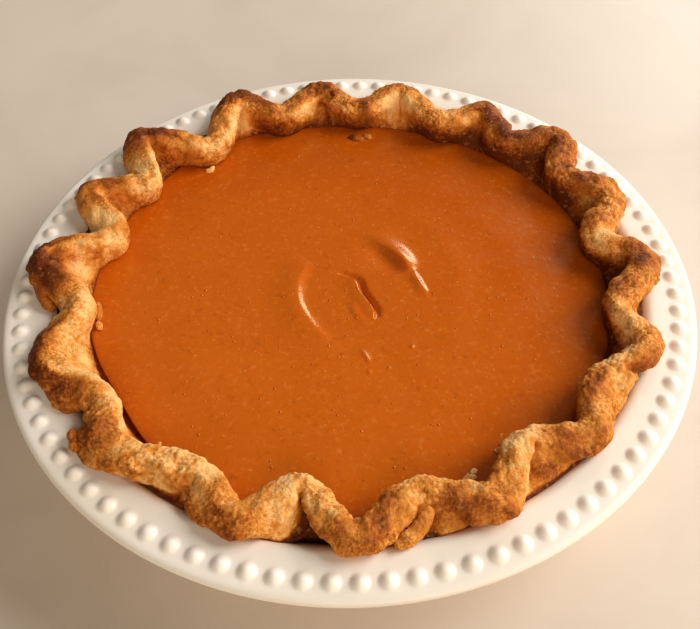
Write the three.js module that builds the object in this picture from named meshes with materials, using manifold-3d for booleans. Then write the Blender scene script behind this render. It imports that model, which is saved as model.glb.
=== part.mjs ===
// A sweet potato pie in its own glazed ceramic dish: a wide-rimmed round dish with a ring of beads,
// a pastry crust pinched by hand into uneven flutes, and a smooth filling with a spoon swirl.
// Millimetres, +Z up. The origin is the centre of the dish's flat base, which stands on the table.

import * as THREE from "three";
import { ParametricGeometry } from "three/addons/geometries/ParametricGeometry.js";
import { mergeVertices } from "three/addons/utils/BufferGeometryUtils.js";
import Module from "manifold-3d";

const wasm = await Module();
wasm.setup();

const GAP = 0.4; // clearance between pieces that touch
const MERGE_DISTANCE = 1e-4;

// Dish, with radii from its axis and heights from the table
const DISH_RADIUS = 140;
const DISH_HEIGHT = 47; // top of the flat rim
const OPENING_RADIUS = 120.7; // where the rim turns down into the wall
const OPENING_ROUND = 3;
const FLOOR_RADIUS = 95; // where the sloping wall would meet the floor
const FLOOR_THICKNESS = 6.5;
const FLOOR_ROUND = 8;
const WALL_THICKNESS = 6.5; // measured level
const RIM_THICKNESS = 4;
const LIP_ROUND = 3;
const FOOT_RADIUS = 88;
const FOOT_BEVEL = 1.2;
const FOOT_ROUND_TOP = 9; // height where the round foot becomes the straight wall
const RIM_ROUND = 3; // drop of the round under the rim
const DISH_SEGMENTS = 90;
const CURVE_DIVISIONS = 2;

// Beads on the rim
const BEAD_COUNT = 90;
const BEAD_RING_RADIUS = 132.6;
const BEAD_RADIUS = 3.8;
const BEAD_HEIGHT = 2.6;
const BEAD_ROOT = 1; // depth sunk in the rim
const BEAD_SIDES = 8;
const BEAD_PHASE = 2.6; // degrees

// Crust, with heights from the top of the dish's rim. Each flute is a pinch outwards, given by its
// azimuth in degrees, the radius of the rope's middle there, the radius at the dip inwards that
// follows it, the height of the pinch, and where the dip lies on the way to the next pinch.
const FLUTES = [
  [1, 121.5, 106, 10, 0.4],
  [20, 122.5, 113, 10, 0.6],
  [38, 126.5, 111, 11.5, 0.54],
  [56.5, 121, 106.5, 10, 0.38],
  [77, 120.5, 108, 10.5, 0.5],
  [96, 120.5, 108, 10.5, 0.5],
  [115, 122.5, 104, 12.5, 0.5],
  [139, 127, 107, 13.5, 0.5],
  [156, 123.5, 103, 11, 0.53],
  [176, 126, 109.5, 12, 0.5],
  [201, 123.2, 111.5, 10, 0.64],
  [222.5, 119, 109, 9.5, 0.64],
  [250.3, 118.2, 103.8, 9, 0.5],
  [270, 119, 106.8, 9, 0.5],
  [294, 117.8, 104.8, 9, 0.53],
  [316, 117.2, 109.8, 9, 0.4],
  [340, 120.5, 106.8, 9, 0.36],
];
const DIP_HEIGHT = 9; // top of the rope at each dip
const ROPE_HALF = 6.6; // half the thickness of the pinched rope
const ROPE_FOOT = 0.8; // share of the half thickness where the rope meets the rim
const ROPE_SHOULDER = 0.45; // share of the height where the rope is thickest
const ROPE_TURNS = [0, 30, 60]; // degrees round the rope's rounded top
const REACH_STEP = 0.3; // degrees between the rope's middle points that are tried
const REACH_SPAN = 4.5; // degrees tried to either side
const CRUST_STEPS = 170; // ten to a flute
const SHRINK = 4; // mean gap between the foot of a dip and the dish's opening
const SHRINK_SWING = 1.6; // how much that gap varies round the dish
const SHRINK_AZIMUTH = 238; // degrees, where the gap is widest
const DIP_SINK = 1.5; // depth of that foot below the rim
const LEAVES_WALL = 14; // depth below the rim where a dip parts from the dish
const LINING_CORNER = 6; // height of the crust's lower corner over the dish's floor
const LINING_THICKNESS = 5;
const LINING_RADIUS = 88; // inner corner at the bottom
const WELL_RADIUS = 107; // widest reach of the filling at its level, away from the back left
const WELL_BULGE = 6; // how much wider it reaches into the deep flutes there
const WELL_BULGE_AZIMUTH = 125; // degrees
const WELL_BULGE_SPAN = 22; // degrees
const WELL_FLARE = 5; // how much wider the crust opens just over the rim
const FLARE_HEIGHT = 0.2; // share of the rope's height where it opens so

// Loose folds of dough on the rope's outer side: paths of [azimuth in degrees, radius, height]
const FOLDS = [
  { path: [[281.2, 113.6, 5.4], [281.4, 117.6, 3.6], [277.4, 120.8, 2.8]], radius: 2.2 },
  { path: [[241.2, 113.5, 5.2], [241.2, 116.2, 3.4]], radius: 2.6 },
  { path: [[218.8, 122.4, 5.2], [222, 124.6, 4.2]], radius: 2.4 },
];
const FOLD_SIDES = 7;
const FOLD_CAP_STEPS = 2;

// Filling, with heights from the top of the dish's rim
const FILLING_LEVEL = -5.5;
const FILLING_CROWN = 1; // rise from the edge to the middle
const FILLING_EDGE = 2; // width of the rounded edge
const EDGE_DROP = 0.7;
const CROWN_SHARE = 0.62; // share of the radius where the crown levels off

// Spoon swirl: crescent ridges on arcs, by centre, azimuths in degrees, radii, height and half width
const SWIRL = [
  { centre: [17.7, -0.6], from: 161, to: 240, start: 39, end: 40, height: 1.3, half: 2.2 },
  { centre: [0, 2], from: 104, to: -18, start: 29, end: 33.5, height: 2, half: 4 },
  { centre: [-18.3, -13.6], from: 60, to: -10, start: 28.2, end: 28.2, height: 1.5, half: 2.6 },
];
const CRESCENT_STEPS = 12;
const CRESCENT_SIDES = 6;

const DOUGH = new THREE.MeshStandardMaterial({ color: 0xc68a48, roughness: 0.75, metalness: 0 });
const CUSTARD = new THREE.MeshStandardMaterial({ color: 0xb85c16, roughness: 0.4, metalness: 0 });
const GLAZE = new THREE.MeshStandardMaterial({ color: 0xf2e9dd, roughness: 0.15, metalness: 0 });

const { clamp, degToRad, euclideanModulo, lerp, smoothstep } = THREE.MathUtils;
const TURN = 2 * Math.PI;

/** Closed geometry as a solid for joining, with the triangles that collapse at its poles dropped. */
function solidOf(geometry) {
  geometry.deleteAttribute("normal");
  geometry.deleteAttribute("uv");
  const merged = mergeVertices(geometry, MERGE_DISTANCE);
  const corners = [];
  for (let i = 0; i < merged.index.count; i += 3) {
    const [a, b, c] = merged.index.array.subarray(i, i + 3);
    if (a !== b && b !== c && c !== a) corners.push(a, b, c);
  }
  const vertProperties = Float32Array.from(merged.attributes.position.array);
  const triVerts = Uint32Array.from(corners);
  return new wasm.Manifold(new wasm.Mesh({ numProp: 3, vertProperties, triVerts }));
}

/** A named mesh from a solid and its material. */
function meshOf(name, solid, material) {
  const { vertProperties, triVerts } = solid.getMesh();
  const geometry = new THREE.BufferGeometry();
  geometry.setAttribute("position", new THREE.BufferAttribute(vertProperties, 3));
  geometry.setIndex(new THREE.BufferAttribute(triVerts, 1));
  geometry.computeVertexNormals();
  const mesh = new THREE.Mesh(geometry, material);
  mesh.name = name;
  return mesh;
}

/** A solid turned about Z from a path of (radius, height) that starts and ends on the axis. */
function turned(points, segments) {
  return new THREE.LatheGeometry(points, segments).rotateX(Math.PI / 2);
}

/**
 * A solid whose section changes round the Z axis: section(azimuth) lists [radius, height] pairs, from
 * the bottom up the outer side, or from the top down, which splits its sides as a face round it is.
 */
function wavyTurned(section, steps, topDown = false) {
  const rows = section(0).length - 1;
  const skin = new ParametricGeometry((u, v, target) => {
    const azimuth = (u % 1) * TURN;
    const [radius, height] = section(azimuth)[Math.round(v * rows)];
    target.set(radius * Math.cos(azimuth), radius * Math.sin(azimuth), height);
  }, steps, rows);
  if (topDown) skin.index.array.reverse();
  return solidOf(skin);
}

/** Radius of the dish's sloping inner wall at a height from the table. */
function wallRadius(height) {
  const slope = (OPENING_RADIUS - FLOOR_RADIUS) / (DISH_HEIGHT - FLOOR_THICKNESS);
  return FLOOR_RADIUS + (height - FLOOR_THICKNESS) * slope;
}

/** Half section of the dish, from the middle of its base round the rim to the middle of its floor. */
function dishPath() {
  const underRim = DISH_HEIGHT - RIM_THICKNESS;
  const wallTop = underRim - RIM_ROUND;
  const lipMiddle = DISH_HEIGHT - RIM_THICKNESS / 2;
  const path = new THREE.Path();
  path.moveTo(0, 0);
  path.lineTo(FOOT_RADIUS, 0);
  path.lineTo(FOOT_RADIUS + FOOT_BEVEL, FOOT_BEVEL);
  path.quadraticCurveTo(
    wallRadius(FOOT_BEVEL) + WALL_THICKNESS, FOOT_BEVEL,
    wallRadius(FOOT_ROUND_TOP) + WALL_THICKNESS, FOOT_ROUND_TOP,
  );
  path.lineTo(wallRadius(wallTop) + WALL_THICKNESS, wallTop);
  path.quadraticCurveTo(
    wallRadius(underRim) + WALL_THICKNESS, underRim,
    wallRadius(DISH_HEIGHT) + WALL_THICKNESS, underRim,
  );
  path.lineTo(DISH_RADIUS - LIP_ROUND, underRim);
  path.quadraticCurveTo(DISH_RADIUS, underRim, DISH_RADIUS, lipMiddle);
  path.quadraticCurveTo(DISH_RADIUS, DISH_HEIGHT, DISH_RADIUS - LIP_ROUND, DISH_HEIGHT);
  path.lineTo(OPENING_RADIUS + OPENING_ROUND, DISH_HEIGHT);
  path.quadraticCurveTo(
    OPENING_RADIUS, DISH_HEIGHT,
    wallRadius(DISH_HEIGHT - OPENING_ROUND), DISH_HEIGHT - OPENING_ROUND,
  );
  path.lineTo(wallRadius(FLOOR_THICKNESS + FLOOR_ROUND), FLOOR_THICKNESS + FLOOR_ROUND);
  path.quadraticCurveTo(FLOOR_RADIUS, FLOOR_THICKNESS, FLOOR_RADIUS - FLOOR_ROUND, FLOOR_THICKNESS);
  path.lineTo(0, FLOOR_THICKNESS);
  return path;
}

/** One domed bead, standing on the rim at an azimuth. */
function bead(azimuth) {
  const points = [new THREE.Vector2(0, -BEAD_ROOT), new THREE.Vector2(BEAD_RADIUS, -BEAD_ROOT)];
  for (const turn of [0, 45, 90]) {
    const angle = degToRad(turn);
    points.push(new THREE.Vector2(BEAD_RADIUS * Math.cos(angle), BEAD_HEIGHT * Math.sin(angle)));
  }
  points.at(-1).x = 0;
  const place = new THREE.Vector3(BEAD_RING_RADIUS, 0, DISH_HEIGHT);
  place.applyAxisAngle(new THREE.Vector3(0, 0, 1), azimuth);
  return solidOf(turned(points, BEAD_SIDES).translate(...place));
}

/** The dish with its ring of beads. */
function dish() {
  let body = solidOf(turned(dishPath().getPoints(CURVE_DIVISIONS), DISH_SEGMENTS));
  for (let i = 0; i < BEAD_COUNT; i++) {
    body = body.add(bead(degToRad(BEAD_PHASE) + (i * TURN) / BEAD_COUNT));
  }
  return meshOf("dish", body, GLAZE);
}

/** Pinches and dips in turn round the rim, as { azimuth, radius, top } with azimuth in degrees. */
function ropeTurns() {
  return FLUTES.flatMap(([azimuth, pinch, dip, top, dipAt], i) => {
    const next = i + 1 < FLUTES.length ? FLUTES[i + 1][0] : FLUTES[0][0] + 360;
    const middle = lerp(azimuth, next, dipAt);
    return [{ azimuth, radius: pinch, top }, { azimuth: middle, radius: dip, top: DIP_HEIGHT }];
  });
}

const ROPE = ropeTurns();

/** Radius and top of the rope's middle line at an azimuth in radians. */
function ropeAt(azimuth) {
  const start = ROPE[0].azimuth;
  const degrees = start + euclideanModulo((azimuth * 360) / TURN - start, 360);
  const i = ROPE.findLastIndex((turn) => turn.azimuth <= degrees);
  const from = ROPE[i];
  const to = ROPE[(i + 1) % ROPE.length];
  const span = euclideanModulo(to.azimuth - from.azimuth, 360);
  const share = (1 - Math.cos((Math.PI * (degrees - from.azimuth)) / span)) / 2;
  return { radius: lerp(from.radius, to.radius, share), top: lerp(from.top, to.top, share) };
}

/** Radius of the rope's outer (side 1) or inner (side -1) face, for a half thickness. */
function reach(azimuth, half, side) {
  let best = ropeAt(azimuth).radius + side * half;
  for (let degrees = -REACH_SPAN; degrees <= REACH_SPAN; degrees += REACH_STEP) {
    const turn = degToRad(degrees);
    const { radius } = ropeAt(azimuth + turn);
    const rest = half ** 2 - (radius * Math.sin(turn)) ** 2;
    if (rest > 0) {
      const face = radius * Math.cos(turn) + side * Math.sqrt(rest);
      best = side > 0 ? Math.max(best, face) : Math.min(best, face);
    }
  }
  return best;
}

/** Widest reach of the filling towards an azimuth. */
function wellLimit(azimuth) {
  const off = euclideanModulo((azimuth * 360) / TURN - WELL_BULGE_AZIMUTH + 180, 360) - 180;
  return WELL_RADIUS + WELL_BULGE * Math.exp(-((off / WELL_BULGE_SPAN) ** 2));
}

/** Radius where the crust's inner face meets the filling. */
function wellRadius(azimuth) {
  return Math.min(reach(azimuth, ROPE_HALF, -1), wellLimit(azimuth));
}

/** Radius where the outer side of a dip comes down, inside the dish's opening. */
function dipFootRadius(azimuth) {
  return OPENING_RADIUS - SHRINK - SHRINK_SWING * Math.cos(azimuth - degToRad(SHRINK_AZIMUTH));
}

/** Rounded side of the rope, from its thickest level up to just below its top. */
function ropeSide(azimuth, side) {
  const { top } = ropeAt(azimuth);
  return ROPE_TURNS.map((turn) => {
    const angle = degToRad(turn);
    const height = top * lerp(ROPE_SHOULDER, 1, Math.sin(angle));
    return [reach(azimuth, ROPE_HALF * Math.cos(angle), side), height];
  });
}

/** Section of the crust, from under its bottom round the rope to its inner floor. */
function crustSection(azimuth) {
  const { radius, top } = ropeAt(azimuth);
  const bottom = FLOOR_THICKNESS - DISH_HEIGHT + GAP;
  const clearOfBeads = BEAD_RING_RADIUS - BEAD_RADIUS - GAP;
  const dipFoot = dipFootRadius(azimuth);
  const foot = clamp(reach(azimuth, ROPE_HALF * ROPE_FOOT, 1), dipFoot, clearOfBeads);
  const footHeight = lerp(-DIP_SINK, 2 * GAP, smoothstep(foot, dipFoot, OPENING_RADIUS));
  const flare = Math.min(reach(azimuth, ROPE_HALF, -1), wellLimit(azimuth) + WELL_FLARE);
  return [
    [0, bottom],
    [FLOOR_RADIUS - FLOOR_ROUND, bottom],
    [wallRadius(FLOOR_THICKNESS + LINING_CORNER) - 2 * GAP, bottom + LINING_CORNER],
    [wallRadius(DISH_HEIGHT - LEAVES_WALL) - GAP, -LEAVES_WALL],
    [Math.min(foot, OPENING_RADIUS - GAP), footHeight - GAP],
    [foot, footHeight],
    ...ropeSide(azimuth, 1),
    [radius, top],
    ...ropeSide(azimuth, -1).reverse(),
    [flare, top * FLARE_HEIGHT],
    [wellRadius(azimuth), FILLING_LEVEL],
    [LINING_RADIUS, bottom + LINING_THICKNESS],
    [0, bottom + LINING_THICKNESS],
  ];
}

/** A point given by azimuth in degrees, radius and height. */
function polarPoint([azimuth, radius, height]) {
  const angle = degToRad(azimuth);
  return new THREE.Vector3(radius * Math.cos(angle), radius * Math.sin(angle), height);
}

/** One straight stretch of a loose fold, rounded at both ends. */
function foldStretch(from, to, radius) {
  const along = to.clone().sub(from);
  const stretch = new THREE.CapsuleGeometry(radius, along.length(), FOLD_CAP_STEPS, FOLD_SIDES);
  const upright = new THREE.Vector3(0, 1, 0);
  stretch.applyQuaternion(new THREE.Quaternion().setFromUnitVectors(upright, along.normalize()));
  return solidOf(stretch.translate(...from.lerp(to, 0.5)));
}

/** The crust: lining, fluted rope and loose folds. */
function crust() {
  let body = wavyTurned(crustSection, CRUST_STEPS);
  for (const { path, radius } of FOLDS) {
    const points = path.map(polarPoint);
    for (let i = 1; i < points.length; i++) {
      body = body.add(foldStretch(points[i - 1].clone(), points[i], radius));
    }
  }
  return meshOf("crust", body, DOUGH);
}

/** Section of the filling, top down. It stands clear of the crust all round. */
function fillingSection(azimuth) {
  const bottom = FLOOR_THICKNESS - DISH_HEIGHT + LINING_THICKNESS + 2 * GAP;
  const edge = wellRadius(azimuth) - 2 * GAP;
  return [
    [0, FILLING_LEVEL + FILLING_CROWN],
    [edge * CROWN_SHARE, FILLING_LEVEL + FILLING_CROWN],
    [edge - FILLING_EDGE, FILLING_LEVEL],
    [edge, FILLING_LEVEL - EDGE_DROP],
    [LINING_RADIUS - 2 * GAP, bottom],
    [0, bottom],
  ];
}

/** One crescent ridge of the swirl, lens-shaped in section and thinning to nothing at its ends. */
function crescent({ centre, from, to, start, end, height, half }) {
  const skin = new ParametricGeometry((u, v, target) => {
    const swell = Math.sin(Math.PI * v);
    const angle = (u % 1) * TURN;
    const azimuth = degToRad(lerp(from, to, v));
    const radius = lerp(start, end, v) - half * swell * Math.cos(angle) * Math.sign(to - from);
    const level = FILLING_LEVEL + FILLING_CROWN - EDGE_DROP;
    target.set(
      centre[0] + radius * Math.cos(azimuth),
      centre[1] + radius * Math.sin(azimuth),
      level + (height + EDGE_DROP) * swell * Math.sin(angle),
    );
  }, CRESCENT_SIDES, CRESCENT_STEPS);
  return solidOf(skin);
}

/** The filling with its swirl. */
function filling() {
  let body = wavyTurned(fillingSection, CRUST_STEPS, true);
  for (const ridge of SWIRL) body = body.add(crescent(ridge));
  return meshOf("filling", body, CUSTARD);
}

const baked = new THREE.Group();
baked.add(crust(), filling());
baked.position.z = DISH_HEIGHT;

const pie = new THREE.Group();
pie.name = "sweet_potato_pie";
pie.add(dish(), baked);

export default pie;
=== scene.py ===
"""Looks of a sweet potato pie in its own glazed ceramic dish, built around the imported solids.

Sizes in the classes are millimetres and degrees, and the meshes become metres when they are placed.
Heights of the crust and of what lies in it are measured from the top of the dish's rim.
"""

import logging
import math
import random
from collections.abc import Sequence
from dataclasses import dataclass, field
from enum import Enum

import bmesh
import bpy
import numpy as np
from mathutils import Euler, Matrix, Vector, noise
from mathutils.geometry import interpolate_bezier


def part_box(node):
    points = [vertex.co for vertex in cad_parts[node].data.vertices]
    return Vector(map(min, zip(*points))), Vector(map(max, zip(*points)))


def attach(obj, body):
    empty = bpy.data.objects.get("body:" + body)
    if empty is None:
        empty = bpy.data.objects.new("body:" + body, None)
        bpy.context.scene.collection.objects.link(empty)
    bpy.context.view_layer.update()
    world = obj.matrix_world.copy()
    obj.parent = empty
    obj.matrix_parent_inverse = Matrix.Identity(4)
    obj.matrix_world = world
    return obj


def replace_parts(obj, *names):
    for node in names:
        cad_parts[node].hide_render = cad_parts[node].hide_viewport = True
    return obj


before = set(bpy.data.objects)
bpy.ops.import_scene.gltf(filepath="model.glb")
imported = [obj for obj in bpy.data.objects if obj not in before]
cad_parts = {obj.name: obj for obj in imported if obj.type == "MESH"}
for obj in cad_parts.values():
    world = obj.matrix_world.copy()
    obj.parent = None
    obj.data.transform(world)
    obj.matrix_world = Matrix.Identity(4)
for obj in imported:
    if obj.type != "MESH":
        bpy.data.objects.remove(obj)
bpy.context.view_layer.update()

MM = 0.001
TURN = 2 * math.pi
WELD = 0.001  # distance, in millimetres, below which vertices are one
NOISE_SEED = 5  # the noise that bends the cracks would start from the clock without it
BODY = "root"
log = logging.getLogger("pie")

Array = np.ndarray
Values = float | Array
Range = tuple[float, float]
Colour = tuple[float, float, float]
Spot = tuple[float, float, float]  # azimuth, radius and height
Mark = tuple[float, float]  # size and depth
Socket = bpy.types.NodeSocket
Input = float | Colour | Socket
NOISE_RANGE = (0.3, 0.7)  # values that most of a noise texture lies between


class Side(Enum):
    """The two faces of the rope of dough, as the sign of their direction from the pie's axis."""

    OUTER = 1
    INNER = -1


class Bake(Enum):
    """How far the oven browned a stretch of the rope, from raw 0 to burnt 1."""

    PALE = 0.04
    GOLDEN = 0.25
    AMBER = 0.42
    BROWNED = 0.6
    TOASTED = 0.94


class Spread(Enum):
    """Where browning begins on a stretch of the rope, as a share of the way across it from inside."""

    ALL_OVER = -0.2
    CROWN = 0.02
    RIDGE = 0.3
    FLANK = 0.5


class Slot(Enum):
    """Material slots of the record."""

    GLAZE = "glaze"
    PASTRY = "pastry"
    CUSTARD = "custard"


def srgb(code: int) -> Colour:
    """Linear colour of a hexadecimal sRGB code.

    Args:
        code: The colour as 0xRRGGBB.

    Returns:
        Red, green and blue from 0 to 1, linear.
    """
    shares = [(code >> shift & 0xFF) / 255 for shift in (16, 8, 0)]
    red, green, blue = (s / 12.92 if s <= 0.04045 else ((s + 0.055) / 1.055) ** 2.4 for s in shares)
    return red, green, blue


def per_mm(size: float) -> float:
    """Texture scale, on coordinates in metres, whose features measure this many millimetres."""
    return 1 / (size * MM)


def ease(low: Values, high: Values, value: Values) -> Array:
    """Smooth step from 0 at low to 1 at high."""
    share = np.clip((value - low) / (high - low), 0, 1)
    return share * share * (3 - 2 * share)


def lerp(start: Values, end: Values, share: Values) -> Values:
    """Value a share of the way from start to end."""
    return start + (end - start) * share


def bend(start: Sequence[float], corner: Sequence[float], end: Sequence[float], count: int) -> list[Vector]:
    """Points on a round corner.

    Args:
        start: Where the round begins, as radius and height.
        corner: The sharp corner that it replaces.
        end: Where the round ends.
        count: Number of stretches.

    Returns:
        The points, both ends included.
    """
    a, b, c = Vector(start), Vector(corner), Vector(end)
    shares = [i / count for i in range(count + 1)]
    return [(a * (1 - s) + b * s) * (1 - s) + (b * (1 - s) + c * s) * s for s in shares]


def polar(azimuth: float, radius: float, height: float) -> Vector:
    """Point at an azimuth in degrees, a radius and a height."""
    angle = math.radians(azimuth)
    return Vector((radius * math.cos(angle), radius * math.sin(angle), height))


def bell(azimuth: Array, middle: float, span: float, power: int = 2) -> Array:
    """Bell over azimuths in radians: 1 at a middle, fading over a span, both in degrees."""
    off = (np.degrees(azimuth) - middle + 180) % 360 - 180
    return np.exp(-((off / span) ** power))


def smooth_path(corners: Sequence[Vector], stretches: int) -> list[Vector]:
    """Points on a smooth line that passes through corners.

    Args:
        corners: The corners.
        stretches: Number of stretches from one corner to the next.

    Returns:
        The points, the first and the last corner included.
    """
    points = []
    ends = [corners[0], *corners, corners[-1]]
    for before, start, end, after in zip(ends, ends[1:], ends[2:], ends[3:]):
        leave, arrive = start + (end - before) / 6, end - (after - start) / 6
        points += interpolate_bezier(start, leave, arrive, end, stretches + 1)[:-1]
    return [*points, corners[-1]]


def nearest_on_path(points: Array, path: Sequence[Vector]) -> tuple[Array, Array, Array]:
    """Nearest place on a path of straight stretches to each point.

    Args:
        points: Coordinates, with x, y and z last.
        path: Corners of the path.

    Returns:
        The way from that place to each point, the path's direction there, and how far along the path
        it lies, from 0 to 1.
    """
    away = np.full(points.shape, np.inf)
    ahead = np.zeros(points.shape)
    along = np.zeros(points.shape[:-1])
    for index, (start, end) in enumerate(zip(path, path[1:])):
        stretch = np.array(end - start)
        share = np.clip((points - np.array(start)) @ stretch / (stretch @ stretch), 0, 1)
        gap = points - np.array(start) - share[..., None] * stretch
        closer = np.linalg.norm(gap, axis=-1) < np.linalg.norm(away, axis=-1)
        away[closer] = gap[closer]
        ahead[closer] = stretch
        along[closer] = (index + share[closer]) / (len(path) - 1)
    return away, ahead, along


def rolled_grid(rows: int, steps: int) -> bmesh.types.BMesh:
    """A grid rolled to a tube of unit radius round the Z axis, whose heights count its rows.

    Args:
        rows: Number of rings along it.
        steps: Number of vertices round it.

    Returns:
        The open tube, with its seam merged.
    """
    bm = bmesh.new()
    bmesh.ops.create_grid(bm, x_segments=steps, y_segments=rows - 1, size=0.5)
    for vert in bm.verts:
        azimuth = (vert.co.x + 0.5) * TURN
        vert.co = math.cos(azimuth), math.sin(azimuth), (vert.co.y + 0.5) * (rows - 1)
    bmesh.ops.remove_doubles(bm, verts=bm.verts, dist=WELD)
    return bm


def close_up(bm: bmesh.types.BMesh) -> None:
    """Merges the vertices that meet at the poles and turns every face outwards.

    Args:
        bm: The mesh.
    """
    bmesh.ops.remove_doubles(bm, verts=bm.verts, dist=WELD)
    bmesh.ops.recalc_face_normals(bm, faces=bm.faces)
    bm.normal_update()


def wrapped_skin(section: Array, layers: dict[str, Array] | None = None) -> bmesh.types.BMesh:
    """A closed skin round the Z axis whose section changes with the azimuth.

    Args:
        section: Radius and height for each azimuth step and row, from pole to pole.
        layers: Values to keep on the vertices, by name, for each step and row.

    Returns:
        The skin, with its poles merged and its faces turned outwards.
    """
    steps, rows, _ = section.shape
    bm = rolled_grid(rows, steps)
    kept = [(bm.verts.layers.float.new(name), values) for name, values in (layers or {}).items()]
    for vert in bm.verts:
        azimuth = math.atan2(vert.co.y, vert.co.x)
        at = round(azimuth / TURN * steps) % steps, round(vert.co.z)
        for layer, values in kept:
            vert[layer] = float(values[at])
        radius, height = section[at]
        vert.co = radius * math.cos(azimuth), radius * math.sin(azimuth), height
    close_up(bm)
    return bm


def azimuths(steps: int) -> Array:
    """Azimuths in radians of the steps round a skin."""
    return np.arange(steps) * TURN / steps


def section_of(rows: Sequence[tuple[Values, Values]], steps: int) -> Array:
    """Stacks rows of radius and height, each a number or an array over the steps, into one array."""
    flat = [np.stack([np.broadcast_to(value, steps) for value in row], axis=-1) for row in rows]
    return np.stack(flat, axis=1)


def place(
    bm: bmesh.types.BMesh, name: str, finish: bpy.types.Material, slot: Slot, lift: float = 0
) -> bpy.types.Object:
    """Makes a mesh in millimetres a smooth piece in metres that belongs to the pie.

    Args:
        bm: The mesh, which is used up.
        name: Name of the piece.
        finish: Its material.
        slot: The record's material slot for it, which is not used.
        lift: Height that its mesh is raised by.

    Returns:
        The piece, at the origin.
    """
    bmesh.ops.translate(bm, verts=bm.verts, vec=(0, 0, lift))
    bmesh.ops.scale(bm, verts=bm.verts, vec=(MM, MM, MM))
    mesh = bpy.data.meshes.new(name)
    bm.to_mesh(mesh)
    bm.free()
    mesh.shade_smooth()
    mesh.materials.append(finish)
    piece = bpy.data.objects.new(name, mesh)
    bpy.context.scene.collection.objects.link(piece)
    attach(piece, BODY)
    return piece


def report(piece: bpy.types.Object) -> None:
    """Logs a finished piece and the size of its mesh."""
    log.info("%s: %d vertices, %d faces", piece.name, len(piece.data.vertices), len(piece.data.polygons))


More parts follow.
